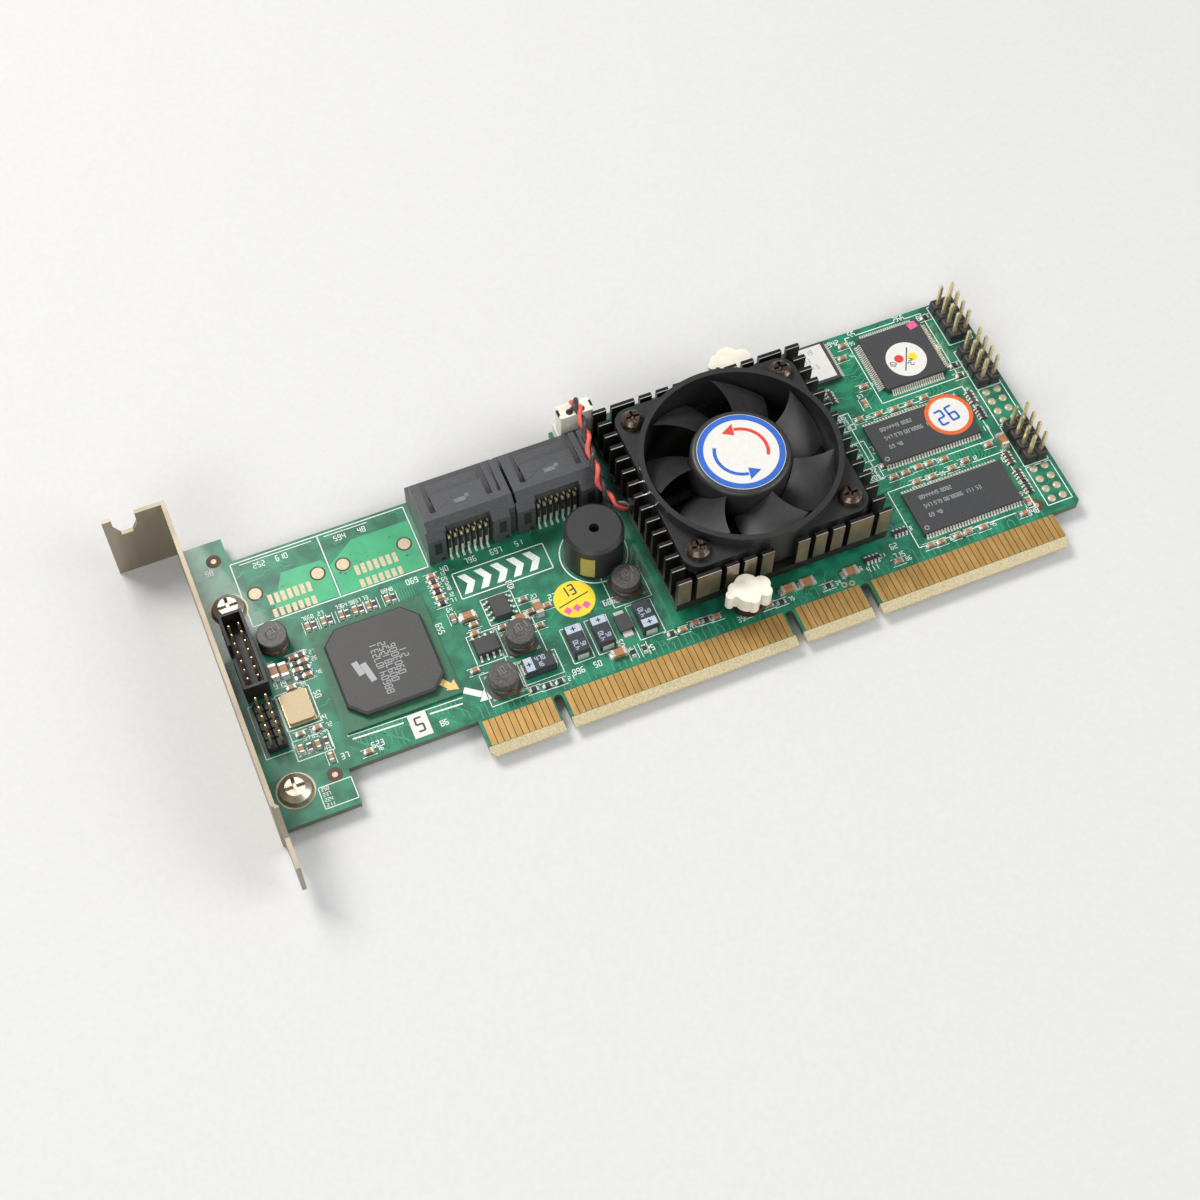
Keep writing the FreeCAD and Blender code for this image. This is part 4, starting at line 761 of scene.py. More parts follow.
def build_pads():
    """Pads and pours: the empty sockets' rows, the empty headers, screw lands and fiducials."""
    tin = Form(*PLATE_LAYER)
    dark = Form(*RING_LAYER)
    flat = Form(*PLATE_LAYER)
    pour = Form(FACE + 0.001, FACE + 0.003)
    for first in (-27.8, -10.1):
        for step in range(7):
            for y, length in ((47.5, 2.3), (44.3, 1.9)):
                flat.block(first + step * 1.3, y, FACE, 0.85, length, 0.05)
    pour.prism([(-27.6, 45.3), (-24.1, 52.6), (-16.0, 52.4), (-15.3, 51.0), (-15.3, 43.4),
                (-20.0, 43.4)])
    pour.prism([(-14.7, 43.3), (-14.7, 50.5), (-9.0, 54.6), (2.7, 54.6), (2.7, 43.3)])
    for x, y in ((-30.2, 49.9), (-17.5, 49.7), (-12.3, 49.8), (0.4, 49.7)):
        flat.prism(disc(x, y, 1.25, 32), (FACE, FACE + 0.05))
        dark.ring(x, y, 1.25, 1.6, 32)
    for y in (38.9, 36.4, 33.8, 31.3, 18.5, 15.9, 13.4, 10.9):
        for x in (124.1, 126.6):
            tin.lathe(x, y, [(0.85, FACE), (0.8, FACE + 0.06), (0.45, FACE + 0.2),
                             (0.12, FACE + 0.24)], 16)
    for name in ("bracket_screw_1", "bracket_screw_2"):
        spot = middle(name)
        flat.ring(spot.x, spot.y, 1.7, 3.75, 36)
    for x, y in ((-35.5, 59.9), (-28.3, 7.6), (120.4, 10.6)):
        dark.ring(x, y, 0.55, 1.5, 28)
        flat.prism(disc(x, y, 0.55, 20))
    for x, y in ((76.7, 8.5), (78.3, 8.3)):
        tin.ring(x, y, 0.3, 0.62, 16)
    tin.piece("tinned_pads", PAD, "tin_lead")
    flat.piece("flat_pads", PAD, "tin_lead", smooth=0)
    dark.piece("bare_rings", BROWN, "board_green", smooth=0)
    pour.piece("copper_pours", POUR, "board_green", smooth=0)


# ------------------------------------------------ chips

def gull_leads(form, x, y, out_x, out_y, count, pitch, width, top, reach, thickness=0.14):
    """A row of gull-wing leads along a chip's side, whose middle is x, y and which faces out."""
    foot = FACE + thickness
    for n in range(count):
        along = (n - (count - 1) / 2) * pitch
        rings = []
        for part, height in ((0.0, top), (0.28, top), (0.55, foot), (1.0, foot)):
            ring = []
            for half, drop in ((-0.5, 0), (-0.5, thickness), (0.5, thickness), (0.5, 0)):
                across = along + half * width
                ring.append((x + out_x * part * reach - out_y * across,
                             y + out_y * part * reach + out_x * across, height - drop))
            rings.append(ring)
        form.skin(rings)


def moulded_body(form, low, high):
    """A chip's case: widest at its seam, with drafted sides above and below."""
    x = (low.x + high.x) / 2
    y = (low.y + high.y) / 2
    length = high.x - low.x
    width = high.y - low.y
    seam = low.z + (high.z - low.z) * 0.45
    form.block(x, y, seam, length, width, high.z - seam, taper=(high.z - seam) * 0.25)
    form.prism(turned_rectangle(x, y, length - 0.2, width - 0.2, 0), (low.z, seam),
               turned_rectangle(x, y, length, width, 0))


def engraved(top):
    """The thin layer of a marking on a surface at this height."""
    return (top - 0.01, top + 0.012)


def mark_rows(form, x, y, rows, height, gap, top):
    """Rows of plain numbers, which stand for a chip's engraved marking."""
    rand = random.Random(int(x * 10))
    for line, lengths in enumerate(rows):
        along = 0.0
        for length in lengths:
            count = max(1, round(length / (height * 1.1)))
            digits = "".join(rand.choice("0123456789") for place in range(count))
            number(form, digits, x + along, y - line * gap, height * 1.5, 0, 0.13,
                   engraved(top))
            along += length + height * 1.1


ALL_SIDES = ((1, 0), (-1, 0), (0, 1), (0, -1))
# the names of the cases and of the leads, the chips and the leads they replace, the sides that
# have leads, how many a side has, their pitch, width and reach, and the case's edge radius
LEADED_CHIPS = (
    ("memory_cases", "memory_leads", ("memory_chip_1", "memory_chip_2"), "memory_chip_leads",
     ALL_SIDES[2:], 33, 0.65, 0.40, 0.95, 0.06),
    ("logic_case", "logic_leads", ("logic_chip",), "logic_chip_leads",
     ALL_SIDES, 24, 0.5, 0.31, 1.3, 0.06),
    ("flash_case", "flash_leads", ("flash_chip",), "flash_chip_leads",
     ALL_SIDES[:2], 18, 0.5, 0.32, 0.9, 0.05))


def build_leaded_chips():
    """Moulded cases with their gull-wing leads, in place of the plain chips."""
    for case, feet, chips, feet_node, sides, count, pitch, width, reach, bevel in LEADED_CHIPS:
        cases = Form()
        leads = Form()
        for name in chips:
            low, high = SPANS[name]
            moulded_body(cases, low, high)
            spot = middle(name)
            for out_x, out_y in sides:
                gull_leads(leads, spot.x + out_x * ((high.x - low.x) / 2 - 0.05),
                           spot.y + out_y * ((high.y - low.y) / 2 - 0.05), out_x, out_y, count,
                           pitch, width, spot.z, reach)
        cases.piece(case, CHIP, "chip_black", bevel=bevel, stands_for=chips)
        leads.piece(feet, TIN, "tin_lead", smooth=0, stands_for=(feet_node,))


def build_chip_marks():
    """Engraved numbers on the chips, the flash chip's label and the controller's marking."""
    marks = Form()
    for name in ("memory_chip_1", "memory_chip_2"):
        low, high = SPANS[name]
        mark_rows(marks, low.x + 3.0, high.y - 2.6,
                  [(4.2, 2.6), (1.6, 1.6, 4.2, 1.8, 1.2), (1.2, 1.0)], 0.55, 2.2, high.z)
        marks.ring(low.x + 1.2, low.y + 1.2, 0.35, 0.5, 16, engraved(high.z))
    low, high = SPANS["flash_chip"]
    y = (low.y + high.y) / 2
    paper = Form()
    paper.block(high.x - 4.6, y, high.z, 7.4, 8.6, 0.08)
    paper.piece("flash_label", LABEL, "label_white", bevel=0.02)
    mark_rows(marks, high.x - 7.6, y + 2.4, [(2.2, 1.4), (3.4,), (2.8, 1.0)], 0.7, 1.9,
              high.z + 0.09)
    low, high = SPANS["controller_cap"]
    cap_x, cap_y = middle("controller_cap").xy
    for u, v, digits in ((-0.4, -7.3, "88604107231"), (1.3, -5.2, "009781252"),
                         (3.0, -4.2, "0903006"), (4.7, -1.0, "21")):
        number(marks, digits, cap_x + u, cap_y + v, 1.35, 90, 0.13, engraved(high.z))
    for u, v, width in ((-3.6, -1.6, 4.4), (-5.2, -0.2, 3.2)):
        marks.prism(turned_rectangle(cap_x + u, cap_y + v, 1.2, width, 12), engraved(high.z))
    marks.piece("chip_marks", MARK, "label_white", smooth=0)


def build_regulators():
    """Two eight-lead regulators with a seam round the case."""
    cases = Form()
    leads = Form()
    for x, y, turn in ((12.65, 28.95, 90), (7.2, 22.0, 0)):
        cases.block(x, y, FACE + 0.1, 4.9, 3.8, 0.7, turn)
        cases.block(x, y, FACE + 0.8, 4.9, 3.8, 0.7, turn, taper=0.2)
        for side in (-1, 1):
            out = (side, 0) if turn else (0, side)
            gull_leads(leads, x + out[0] * 1.85, y + out[1] * 1.85, *out, 4, 1.27, 0.42,
                       FACE + 0.85, 1.05, 0.2)
    cases.piece("regulator_cases", CHIP, "chip_black", bevel=0.06,
                stands_for=("regulator_bodies",))
    leads.piece("regulator_feet", TIN, "tin_lead", smooth=0, stands_for=("regulator_leads",))


# ------------------------------------------------ power parts

def wire_end(form, x, y, inner, outer, low, high):
    """The end of a choke's winding: a stretch along the foot, then up the side."""
    form.band(x, y, inner, outer, 262, 310, 10, (low, low + 0.25))
    form.band(x, y, inner, outer, 284, 290, 4, (low + 0.25, high))


def build_chokes():
    """Three chokes on eight-sided feet: a core of two flanges with copper wound between."""
    cores = Form()
    copper = Form()
    pads = Form()
    prints = Form()

    def above(profile):
        return [(radius, FACE + height) for radius, height in profile]

    for x, y in ((13.6, 20.7), (7.4, 13.3), (37.0, 24.2)):
        pads.block(x, y, FACE, 6.3, 5.6, 0.12, 0, 0.03)
        cores.lathe(x, y, above([(2.7, 0.12), (2.85, 0.3), (2.85, 1.5), (2.6, 1.7)]), 40)
        cores.prism([(x + u, y + v) for u, v in (
            (-3.2, -2.0), (-2.0, -3.0), (2.0, -3.0), (3.2, -2.0), (3.2, 2.0), (2.0, 3.0),
            (-2.0, 3.0), (-3.2, 2.0))], (FACE + 0.12, FACE + 0.5))
        cores.lathe(x, y, above([(2.4, 2.3), (2.85, 2.5), (2.85, 4.2), (2.65, 4.4), (1.2, 4.4),
                                 (1.1, 4.3)]), 40)
        cores.lathe(x, y, above([(2.2, 1.4), (2.2, 2.6)]), 24)
        number(prints, "101", x - 1.1, y - 0.3, 1.5, 12, 0.12, (FACE + 4.395, FACE + 4.41))
        copper.lathe(x, y, above([(2.1, 1.7), (2.45, 1.75), (2.5, 2.0), (2.45, 2.25),
                                  (2.1, 2.3)]), 32)
        wire_end(copper, x, y, 2.84, 3.0, FACE + 0.5, FACE + 2.0)
        copper.band(x, y, 2.84, 3.0, 262, 290, 8, (FACE + 1.75, FACE + 2.0))
    cores.piece("choke_cores", FERRITE, "ferrite", bevel=0.12,
                stands_for=("choke_bases", "choke_tops"))
    copper.piece("choke_wires", COPPER, "copper", stands_for=("choke_windings",))
    pads.piece("choke_pads", PAD, "tin_lead", bevel=0.04)
    prints.piece("choke_prints", CHOKE_PRINT, "label_white", smooth=0)


def build_small_choke():
    """A taller round choke: its core, the winding in its waist and the wire's end."""
    low, high = SPANS["choke_small"]
    x, y = middle("choke_small").xy
    radius = (high.x - low.x) / 2
    base = low.z
    top = high.z
    drum = Form()
    coil = Form()
    mark = Form()
    drum.lathe(x, y, [(radius - 0.2, base), (radius - 0.05, base + 0.2),
                      (radius - 0.05, base + 1.2), (radius - 0.3, base + 1.4)], 40)
    drum.lathe(x, y, [(radius - 0.5, base + 1.3), (radius - 0.5, top - 1.5)], 32)
    drum.lathe(x, y, [(radius - 0.3, top - 1.7), (radius - 0.05, top - 1.5),
                      (radius - 0.05, top - 0.2), (radius - 0.25, top), (1.2, top),
                      (1.1, top - 0.1)], 40)
    coil.lathe(x, y, [(radius - 0.6, base + 1.4), (radius - 0.35, base + 1.5),
                      (radius - 0.35, top - 1.8), (radius - 0.6, top - 1.7)], 32)
    wire_end(coil, x, y, radius - 0.06, radius + 0.08, base + 0.4, base + 1.9)
    number(mark, "101", x - 1.1, y - 0.3, 1.5, 12, 0.12, (top - 0.005, top + 0.01))
    drum.piece("small_choke_core", FERRITE, "ferrite", bevel=0.06, stands_for=("choke_small",))
    coil.piece("small_choke_wire", COPPER, "copper")
    mark.piece("small_choke_print", CHOKE_PRINT, "label_white", smooth=0)


def build_tantalums():
    """Four moulded capacitors with a pale band, a plus sign and numbers, and the diode."""
    cases = Form()
    bands = Form()
    signs = Form()
    for x, y, turn, end in ((14.85, 14.1, 0, -1), (23.45, 16.15, 90, 1), (28.65, 16.15, 90, 1),
                            (37.65, 16.15, 90, -1)):
        cases.block(x, y, FACE + 0.1, 6.3, 3.4, 1.2, turn)
        cases.block(x, y, FACE + 1.3, 6.3, 3.4, 1.25, turn, taper=0.16)
        banded = turned(x, y, turn, end * 2.0, 0)
        bands.block(*banded, FACE + 2.54, 1.7, 2.95, 0.02, turn)
        for length, width in ((0.25, 1.0), (1.0, 0.25)):
            signs.block(*banded, FACE + 2.56, length, width, 0.012, turn)
        for v, digits in ((0.15, "470"), (-1.15, "16")):
            number(bands, digits, *turned(x, y, turn, -2.4 if end > 0 else -0.5, v), 0.95, turn,
                   0.16, (FACE + 2.54, FACE + 2.565))
    cases.piece("tantalum_cases", TANTALUM, "tantalum_grey", bevel=0.12,
                stands_for=("tantalum_capacitors",))
    bands.piece("capacitor_bands", BAND, "tantalum_grey", smooth=0)
    signs.piece("capacitor_signs", CHIP, "tantalum_grey", smooth=0)
    tabs = Form()
    diode = middle("diode_body")
    tabs.block(diode.x, diode.y - 2.3, FACE, 2.2, 1.6, 0.4, 0, 0.15)
    tabs.block(diode.x, diode.y + 2.3, FACE, 2.2, 1.4, 0.4, 0, 0.15)
    tabs.piece("diode_tabs", SOLDER, "tin_lead", bevel=0.05)


def build_buzzer():
    """A dark disc of painted shade in the hole in the buzzer's top, and a strip of tape round part of
    its side.
    """
    low, high = SPANS["buzzer_case"]
    spot = middle("buzzer_case")
    radius = (high.x - low.x) / 2
    # painted shade: a dark disc down in the top's hole
    hole = Form(high.z - 2.15, high.z - 2.05)
    hole.prism(disc(spot.x, spot.y, 0.95, 24))
    hole.piece("buzzer_port_shade", HOLE_SHADE, "housing_black", smooth=0)
    strip = Form(low.z + 0.9, low.z + 7.2)
    strip.band(spot.x, spot.y, radius - 0.02, radius + 0.03, 222, 250, 12)
    strip.piece("buzzer_strip", OLIVE, "housing_black")


# ------------------------------------------------ headers

def pins(form, places, width, low, high):
    """Square pins with bevelled tips."""
    for x, y in places:
        form.block(x, y, low, width, width, high - low - 0.4)
        form.block(x, y, high - 0.4, width, width, 0.4, taper=width * 0.28)


def grid(x, y, columns, rows, pitch):
    return [(x + (a - (columns - 1) / 2) * pitch, y + (b - (rows - 1) / 2) * pitch)
            for a in range(columns) for b in range(rows)]


def header_blocks(name, places, width, height, bevel, node):
    """A header's base as separate blocks, one round each pin."""
    blocks = Form()
    for x, y in places:
        blocks.block(x, y, FACE, width, width, height)
    blocks.piece(name, BLACK, "housing_black", bevel=bevel, stands_for=(node,))


FAR_HEADER_ROWS = (57.8, 45.25, 24.9)


def build_headers():
    """Pins and separate plastic blocks of the headers, and the solder tails on the back."""
    shroud = middle("battery_header_shroud")
    base = middle("service_header_base")
    far_x = middle("pin_header_pins").x
    battery = grid(shroud.x, shroud.y, 2, 7, 2.0)
    service = grid(base.x, base.y, 2, 5, 2.0)
    far = [spot for y in FAR_HEADER_ROWS for spot in grid(far_x, y, 2, 4, 2.54)]
    fine = Form()
    for places, node in ((battery, "battery_header_pins"), (service, "service_header_pins")):
        low, high = SPANS[node]
        pins(fine, places, 0.5, low.z, high.z)
    fine.piece("fine_pins", PIN_GOLD, "gold_contact",
               stands_for=("battery_header_pins", "service_header_pins"))
    header_blocks("service_blocks", service, 1.96, 2.0, 0.25, "service_header_base")
    thick = Form()
    low, high = SPANS["pin_header_pins"]
    pins(thick, far, 0.64, low.z, high.z)
    thick.piece("far_pins", PIN_GOLD, "gold_contact", stands_for=("pin_header_pins",))
    header_blocks("far_blocks", far, 2.5, 2.5, 0.35, "pin_header_bases")
    tails = Form()
    low, high = SPANS["solder_tails"]
    for x, y in far + battery + service:
        tails.lathe(x, y, [(0.2, low.z), (0.28, low.z + 0.1), (0.34, low.z + 0.5),
                           (0.75, high.z - 0.06), (0.8, high.z)], 14)
    tails.piece("soldered_tails", SOLDER, "tin_lead", stands_for=("solder_tails",))


def build_oscillator_foot():
    """The bright rim that the oscillator's can stands on."""
    low, high = SPANS["oscillator_can"]
    rim = Form()
    rim.block(*middle("oscillator_can").xy, FACE, high.x - low.x + 0.5, high.y - low.y + 0.5, 0.35)
    rim.piece("oscillator_foot", CAN_EDGE, "can_metal", bevel=0.1)


# ------------------------------------------------ drive sockets

def build_sockets():
    """Two plug sockets: carved shells, rear blocks with windows drawn as dark sheets of painted
    shade, and two rows of contacts.
    """
    contacts = Form()
    combs = Form()
    tips = Form()
    ribs = Form()
    windows = Form()
    emblem = Form()
    for which in (1, 2):
        name = "drive_socket_%d" % which
        low, high = SPANS[name]
        x = (low.x + high.x) / 2
        back = low.y
        top = high.z
        # slots beside the plateau, the lower front lip and the recess behind the contacts
        cutter = Form()
        for at, width in ((-6.5, 1.1), (5.2, 1.1), (7.2, 0.6)):
            cutter.block(x + at, back + 7.5, top - 3.6, width, 8.0, 5.0)
        cutter.block(x - 0.65, back + 9.6, top - 0.95, 10.7, 4.2, 3.0)
        cutter.block(x - 0.75, back + 0.1, FACE - 1, 9.2, 1.7, top - 1.4 - FACE + 1)
        carve("socket_shell_%d" % which, name, cutter, SOCKET, 0.14)
        ribs.block(x - 0.65, back + 9.0, top - 2.2, 10.6, 3.4, 0.9)
        face = back - 1.0
        for at in (-7.6, 5.8):
            corners = ((-1.85, face, 3.1), (1.85, face, 3.1), (1.85, back + 0.5, 1.5),
                       (-1.85, back + 0.5, 1.5))
            ribs.skin([[(x + at + u, y, FACE) for u, y, drop in corners],
                       [(x + at + u, y, top - drop) for u, y, drop in corners]])
            # painted shade: dark sheets on each rear block's face stand for its windows
            windows.block(x + at + 0.2, face - 0.005, FACE + 3.2, 1.5, 0.03, 3.9)
            windows.block(x + at + 1.0, face - 0.005, FACE + 0.6, 0.8, 0.03, 1.0)
        for column in range(-3, 4):
            at = x - 1.1 + column * 1.27
            # a lead down to its foot on the board, and a blade between the combs
            contacts.block(at, back - 0.3, FACE, 0.45, 0.3, 3.3)
            contacts.block(at, back - 0.8, FACE, 0.5, 1.0, 0.25)
            contacts.block(at + 0.55, back + 0.5, FACE, 0.34, 0.3, 6.6)
            combs.block(at, back - 0.15, FACE + 3.2, 0.62, 0.6, 3.4)
            combs.block(at + 0.2, back + 0.15, FACE + 5.0, 0.62, 0.6, 2.4)
            tips.block(at, back + 0.0, FACE + 6.6, 0.55, 0.9, 0.8, 0, 0.1)
            tips.block(at + 0.55, back + 0.6, FACE + 7.0, 0.4, 0.6, 0.6, 0, 0.08)
        emblem.block(x - 0.7, back + 4.4, top - 0.02, 2.4, 1.0, 0.1, 0, 0.06)
        emblem.block(x + 0.9, back + 4.9, top - 0.02, 0.8, 0.9, 0.1, 0, 0.06)
    combs.piece("socket_combs", BLACK, "socket_grey", bevel=0.06)
    contacts.piece("socket_contacts", TIN, "tin_lead", bevel=0.04,
                   stands_for=("drive_socket_contacts_1", "drive_socket_contacts_2"))
    tips.piece("socket_tips", PIN_GOLD, "gold_contact", bevel=0.04)
    ribs.piece("socket_ribs", SOCKET, "socket_grey", bevel=0.1)
    windows.piece("socket_window_shade", HOLE_SHADE, "socket_grey", smooth=0)
    emblem.piece("socket_emblem", EMBLEM, "socket_grey", smooth=0)


# ------------------------------------------------ heatsink and fan

def build_heatsink():
    """Painted highlights as bright strips on every fin's top, a painted reflection on the front row's
    faces, and the pins' lands.
    """
    edges = Form()
    faces = Form()
    half_x = 22.5
    half_gap = 0.55
    cuts = (-19.1, -13.0, -9.3, -5.6, -1.9, 1.9, 5.6, 9.3, 13.0, 19.1)
    starts = [-half_x] + [cut + half_gap for cut in cuts]
    stops = [cut - half_gap for cut in cuts] + [half_x]
    rows = 15
    pitch = 3.0
    seat = 19.75
    for row in range(rows):
        y = FAN_Y - 21.45 + row * pitch
        for start, stop in zip(starts, stops):
            if row in (0, rows - 1) and start < 0 < stop:
                continue
            if abs(y + 0.45 - FAN_Y) < seat:
                if start < -seat:
                    stop = min(stop, -seat)
                elif stop > seat:
                    start = max(start, seat)
                else:
                    continue
            if stop - start < 0.4:
                continue
            middle_x = FAN_X + (start + stop) / 2
            # painted highlight: a thin bright strip along the front of each fin's top
            edges.block(middle_x, y + 0.10, fins_high.z - 0.02, stop - start - 0.06, 0.18, 0.035)
            if row == 0:
                # painted reflection: a warm sheet over the front faces of the first row of fins
                faces.block(middle_x, y - 0.01, fins_low.z + 0.2, stop - start - 0.1, 0.03,
                            fins_high.z - fins_low.z - 0.3)
    edges.piece("fin_edge_highlights", FIN_HIGHLIGHT, "sink_black", smooth=0)
    faces.piece("fin_front_reflections", FIN_REFLECTION, "sink_black", smooth=0)
    lands = Form(*PLATE_LAYER)
    for side in (-1, 1):
        lands.ring(FAN_X + side * 8.6, FAN_Y + side * 24.0, 1.62, 2.6, 28)
    lands.piece("pin_lands", COPPER, "copper")


def blade_mesh(form, turn):
    """One swept blade: a thin cambered sheet that widens towards its tip."""
    spans = 9
    chords = 9
    inner = 10.2
    outer = 18.2
    top = FAN_TOP - 0.9
    points = []
    # the upper face's points first, then the lower face's
    for side in (1, -1):
        for a in range(spans + 1):
            part = a / spans
            radius = inner + (outer - inner) * part
            sweep = radians(turn + 4 + 12 * part ** 1.4)
            width = radians(40 - 5 * part)
            drop = 6.6 - 1.2 * part
            for b in range(chords + 1):
                along = b / chords
                angle = sweep - width * (along - 0.5)
                rise = top - drop * along - 0.9 * sin(pi * along) * 0.5
                thin = 0.28 * sqrt(max(0.02, sin(pi * min(0.98, max(0.02, along)))))
                points.append((FAN_X + radius * cos(angle), FAN_Y + radius * sin(angle),
                               rise + side * thin))
    across = chords + 1
    total = (spans + 1) * across
    faces = []
    for a in range(spans):
        for b in range(chords):
            here = a * across + b
            faces.append([here, here + across, here + across + 1, here + 1])
            faces.append([total + here, total + here + 1, total + here + across + 1,
                          total + here + across])
    rim = (list(range(across)) + [a * across + chords for a in range(1, spans + 1)]
           + [spans * across + b for b in range(chords - 1, -1, -1)]
           + [a * across for a in range(spans - 1, 0, -1)])
    for here, there in zip(rim, rim[1:] + rim[:1]):
        faces.append([here, there, total + there, total + here])
    form.add(points, faces)


def turning_arrow(top, start, side):
    """A plain curved arrow on the hub's label, which shows which way the fan turns."""
    arrow = Form(top - 0.04, top - 0.012)
    arrow.band(FAN_X, FAN_Y, 4.9, 5.6, start, start + 112)
    arrow.prism([(FAN_X + side * u, FAN_Y + side * v)
                 for u, v in ((0.3, 3.9), (0.9, 6.6), (-1.9, 5.2))])
    return arrow


def build_fan():
    """The rotor with its seven blades, and the hub's label with two arrows that turn."""
    low, high = SPANS["fan_rotor"]
    base = low.z
    top = high.z
    hub = Form()
    hub.lathe(FAN_X, FAN_Y, [(9.6, base + 0.6), (9.9, base + 0.6), (10.0, base + 0.9),
                             (10.0, top - 1.0), (9.85, top - 0.45), (9.5, top - 0.1),
                             (9.1, top)], 72)
    for step in range(7):
        blade_mesh(hub, step * 360 / 7)
    hub.piece("rotor_blades", BLADE, "fan_black", body=ROTOR, stands_for=("fan_rotor",))
    low, high = SPANS["fan_label"]
    paper = Form()
    paper.lathe(FAN_X, FAN_Y, [(8.7, low.z), (8.7, high.z - 0.03)], 64)
    paper.piece("hub_label", LABEL, "label_white", body=ROTOR, stands_for=("fan_label",))
    blue = turning_arrow(high.z, 150, -1)
    blue.ring(FAN_X, FAN_Y, 7.4, 8.6, 72)
    blue.piece("label_ring", BLUE, "label_white", body=ROTOR, smooth=0)
    red = turning_arrow(high.z, -30, 1)
    red.piece("label_arrow", RED, "label_white", body=ROTOR, smooth=0)


# ------------------------------------------------ fan lead and plug

LEAD_POINTS = [
    (40.7, 60.4, 10.6), (40.7, 60.4, 13.6), (40.5, 57.6, 15.3), (40.0, 53.6, 15.2),
    (39.4, 49.6, 13.8), (38.9, 45.6, 12.9), (38.8, 42.3, 10.6), (39.6, 39.5, 8.5),
    (41.1, 37.5, 7.4), (43.0, 36.99, 7.3)]
LEAD_WIDTH = 2.0


def lead_route():
    """The middle line of the twisted pair, as a smooth curve through the route."""
    curve = bpy.data.curves.new("lead_route", "CURVE")
    curve.dimensions = "3D"
    curve.resolution_u = 12
    spline = curve.splines.new("NURBS")
    spline.points.add(len(LEAD_POINTS) - 1)
    for point, (x, y, z) in zip(spline.points, LEAD_POINTS):
        point.co = (x * MM, y * MM, z * MM, 1.0)
    spline.order_u = 3
    spline.use_endpoint_u = True
    holder = link_object("lead_route", curve)
    bpy.context.view_layer.update()
    mesh = bpy.data.meshes.new_from_object(holder)
    line = [vertex.co.copy() for vertex in mesh.vertices]
    bpy.data.objects.remove(holder)
    return line


def wire_along(line, radius, offset, start_turn, turn_length):
    """One wire of the pair, wound about the middle line."""
    steps = 10
    travelled = 0.0
    rings = []
    side = Vector((1, 0, 0))
    for n, here in enumerate(line):
        ahead = line[min(n + 1, len(line) - 1)] - line[max(n - 1, 0)]
        ahead.normalize()
        side = (side - ahead * side.dot(ahead)).normalized()
        across = ahead.cross(side)
        if n:
            travelled += (here - line[n - 1]).length / MM
        turn = radians(start_turn) + 2 * pi * travelled / turn_length
        centre = here / MM + (side * cos(turn) + across * sin(turn)) * offset
        rings.append([centre + (side * cos(2 * pi * k / steps)
                                + across * sin(2 * pi * k / steps)) * radius
                      for k in range(steps)])
    form = Form()
    form.skin(rings)
    return form


def build_lead():
    """The twisted red and black wires from the fan's frame to the plug on its header."""
    line = lead_route()
    radius = LEAD_WIDTH / 4
    first = wire_along(line, radius, radius, 20, 6.5).piece(
        "fan_wire_red", WIRE_RED, "lead_red", stands_for=("fan_lead",))
    second = wire_along(line, radius, radius, 200, 6.5).piece(
        "fan_wire_dark", WIRE_BLACK, "lead_red")


def build_plug():
    """Painted shade in the plug's wire holes and at its latches, as dark shapes, and its rim."""
    low, high = SPANS["fan_plug"]
    x, y = middle("fan_plug").xy
    # painted shade: dark discs and blocks stand for the wire holes and the latch openings
    slots = Form(high.z - 0.02, high.z + 0.012)
    for side in (-1, 1):
        slots.prism(disc(x + side * 1.25, y - 0.6, 0.75, 16))
        slots.block(x + side * 3.45, y, high.z - 0.3, 0.5, 1.4, 0.32)
    slots.piece("plug_slot_shade", HOLE_SHADE, "plug_white", smooth=0)
    flange = Form()
    flange.block(x, y, high.z - 1.5, high.x - low.x, high.y - low.y, 0.12, 0, 0.1)
    flange.block(x, low.y + 0.02, low.z + 2.2, high.x - low.x - 2.4, 0.1, 2.6)
    flange.piece("plug_flange", NYLON, "plug_white", bevel=0.03)


# ------------------------------------------------ labels stuck on the card

LABEL_THICKNESS = 0.07


def over(top, thickness=0.015):
    """The layer of a print that lies on a surface at this height."""
    return (top, top + thickness)


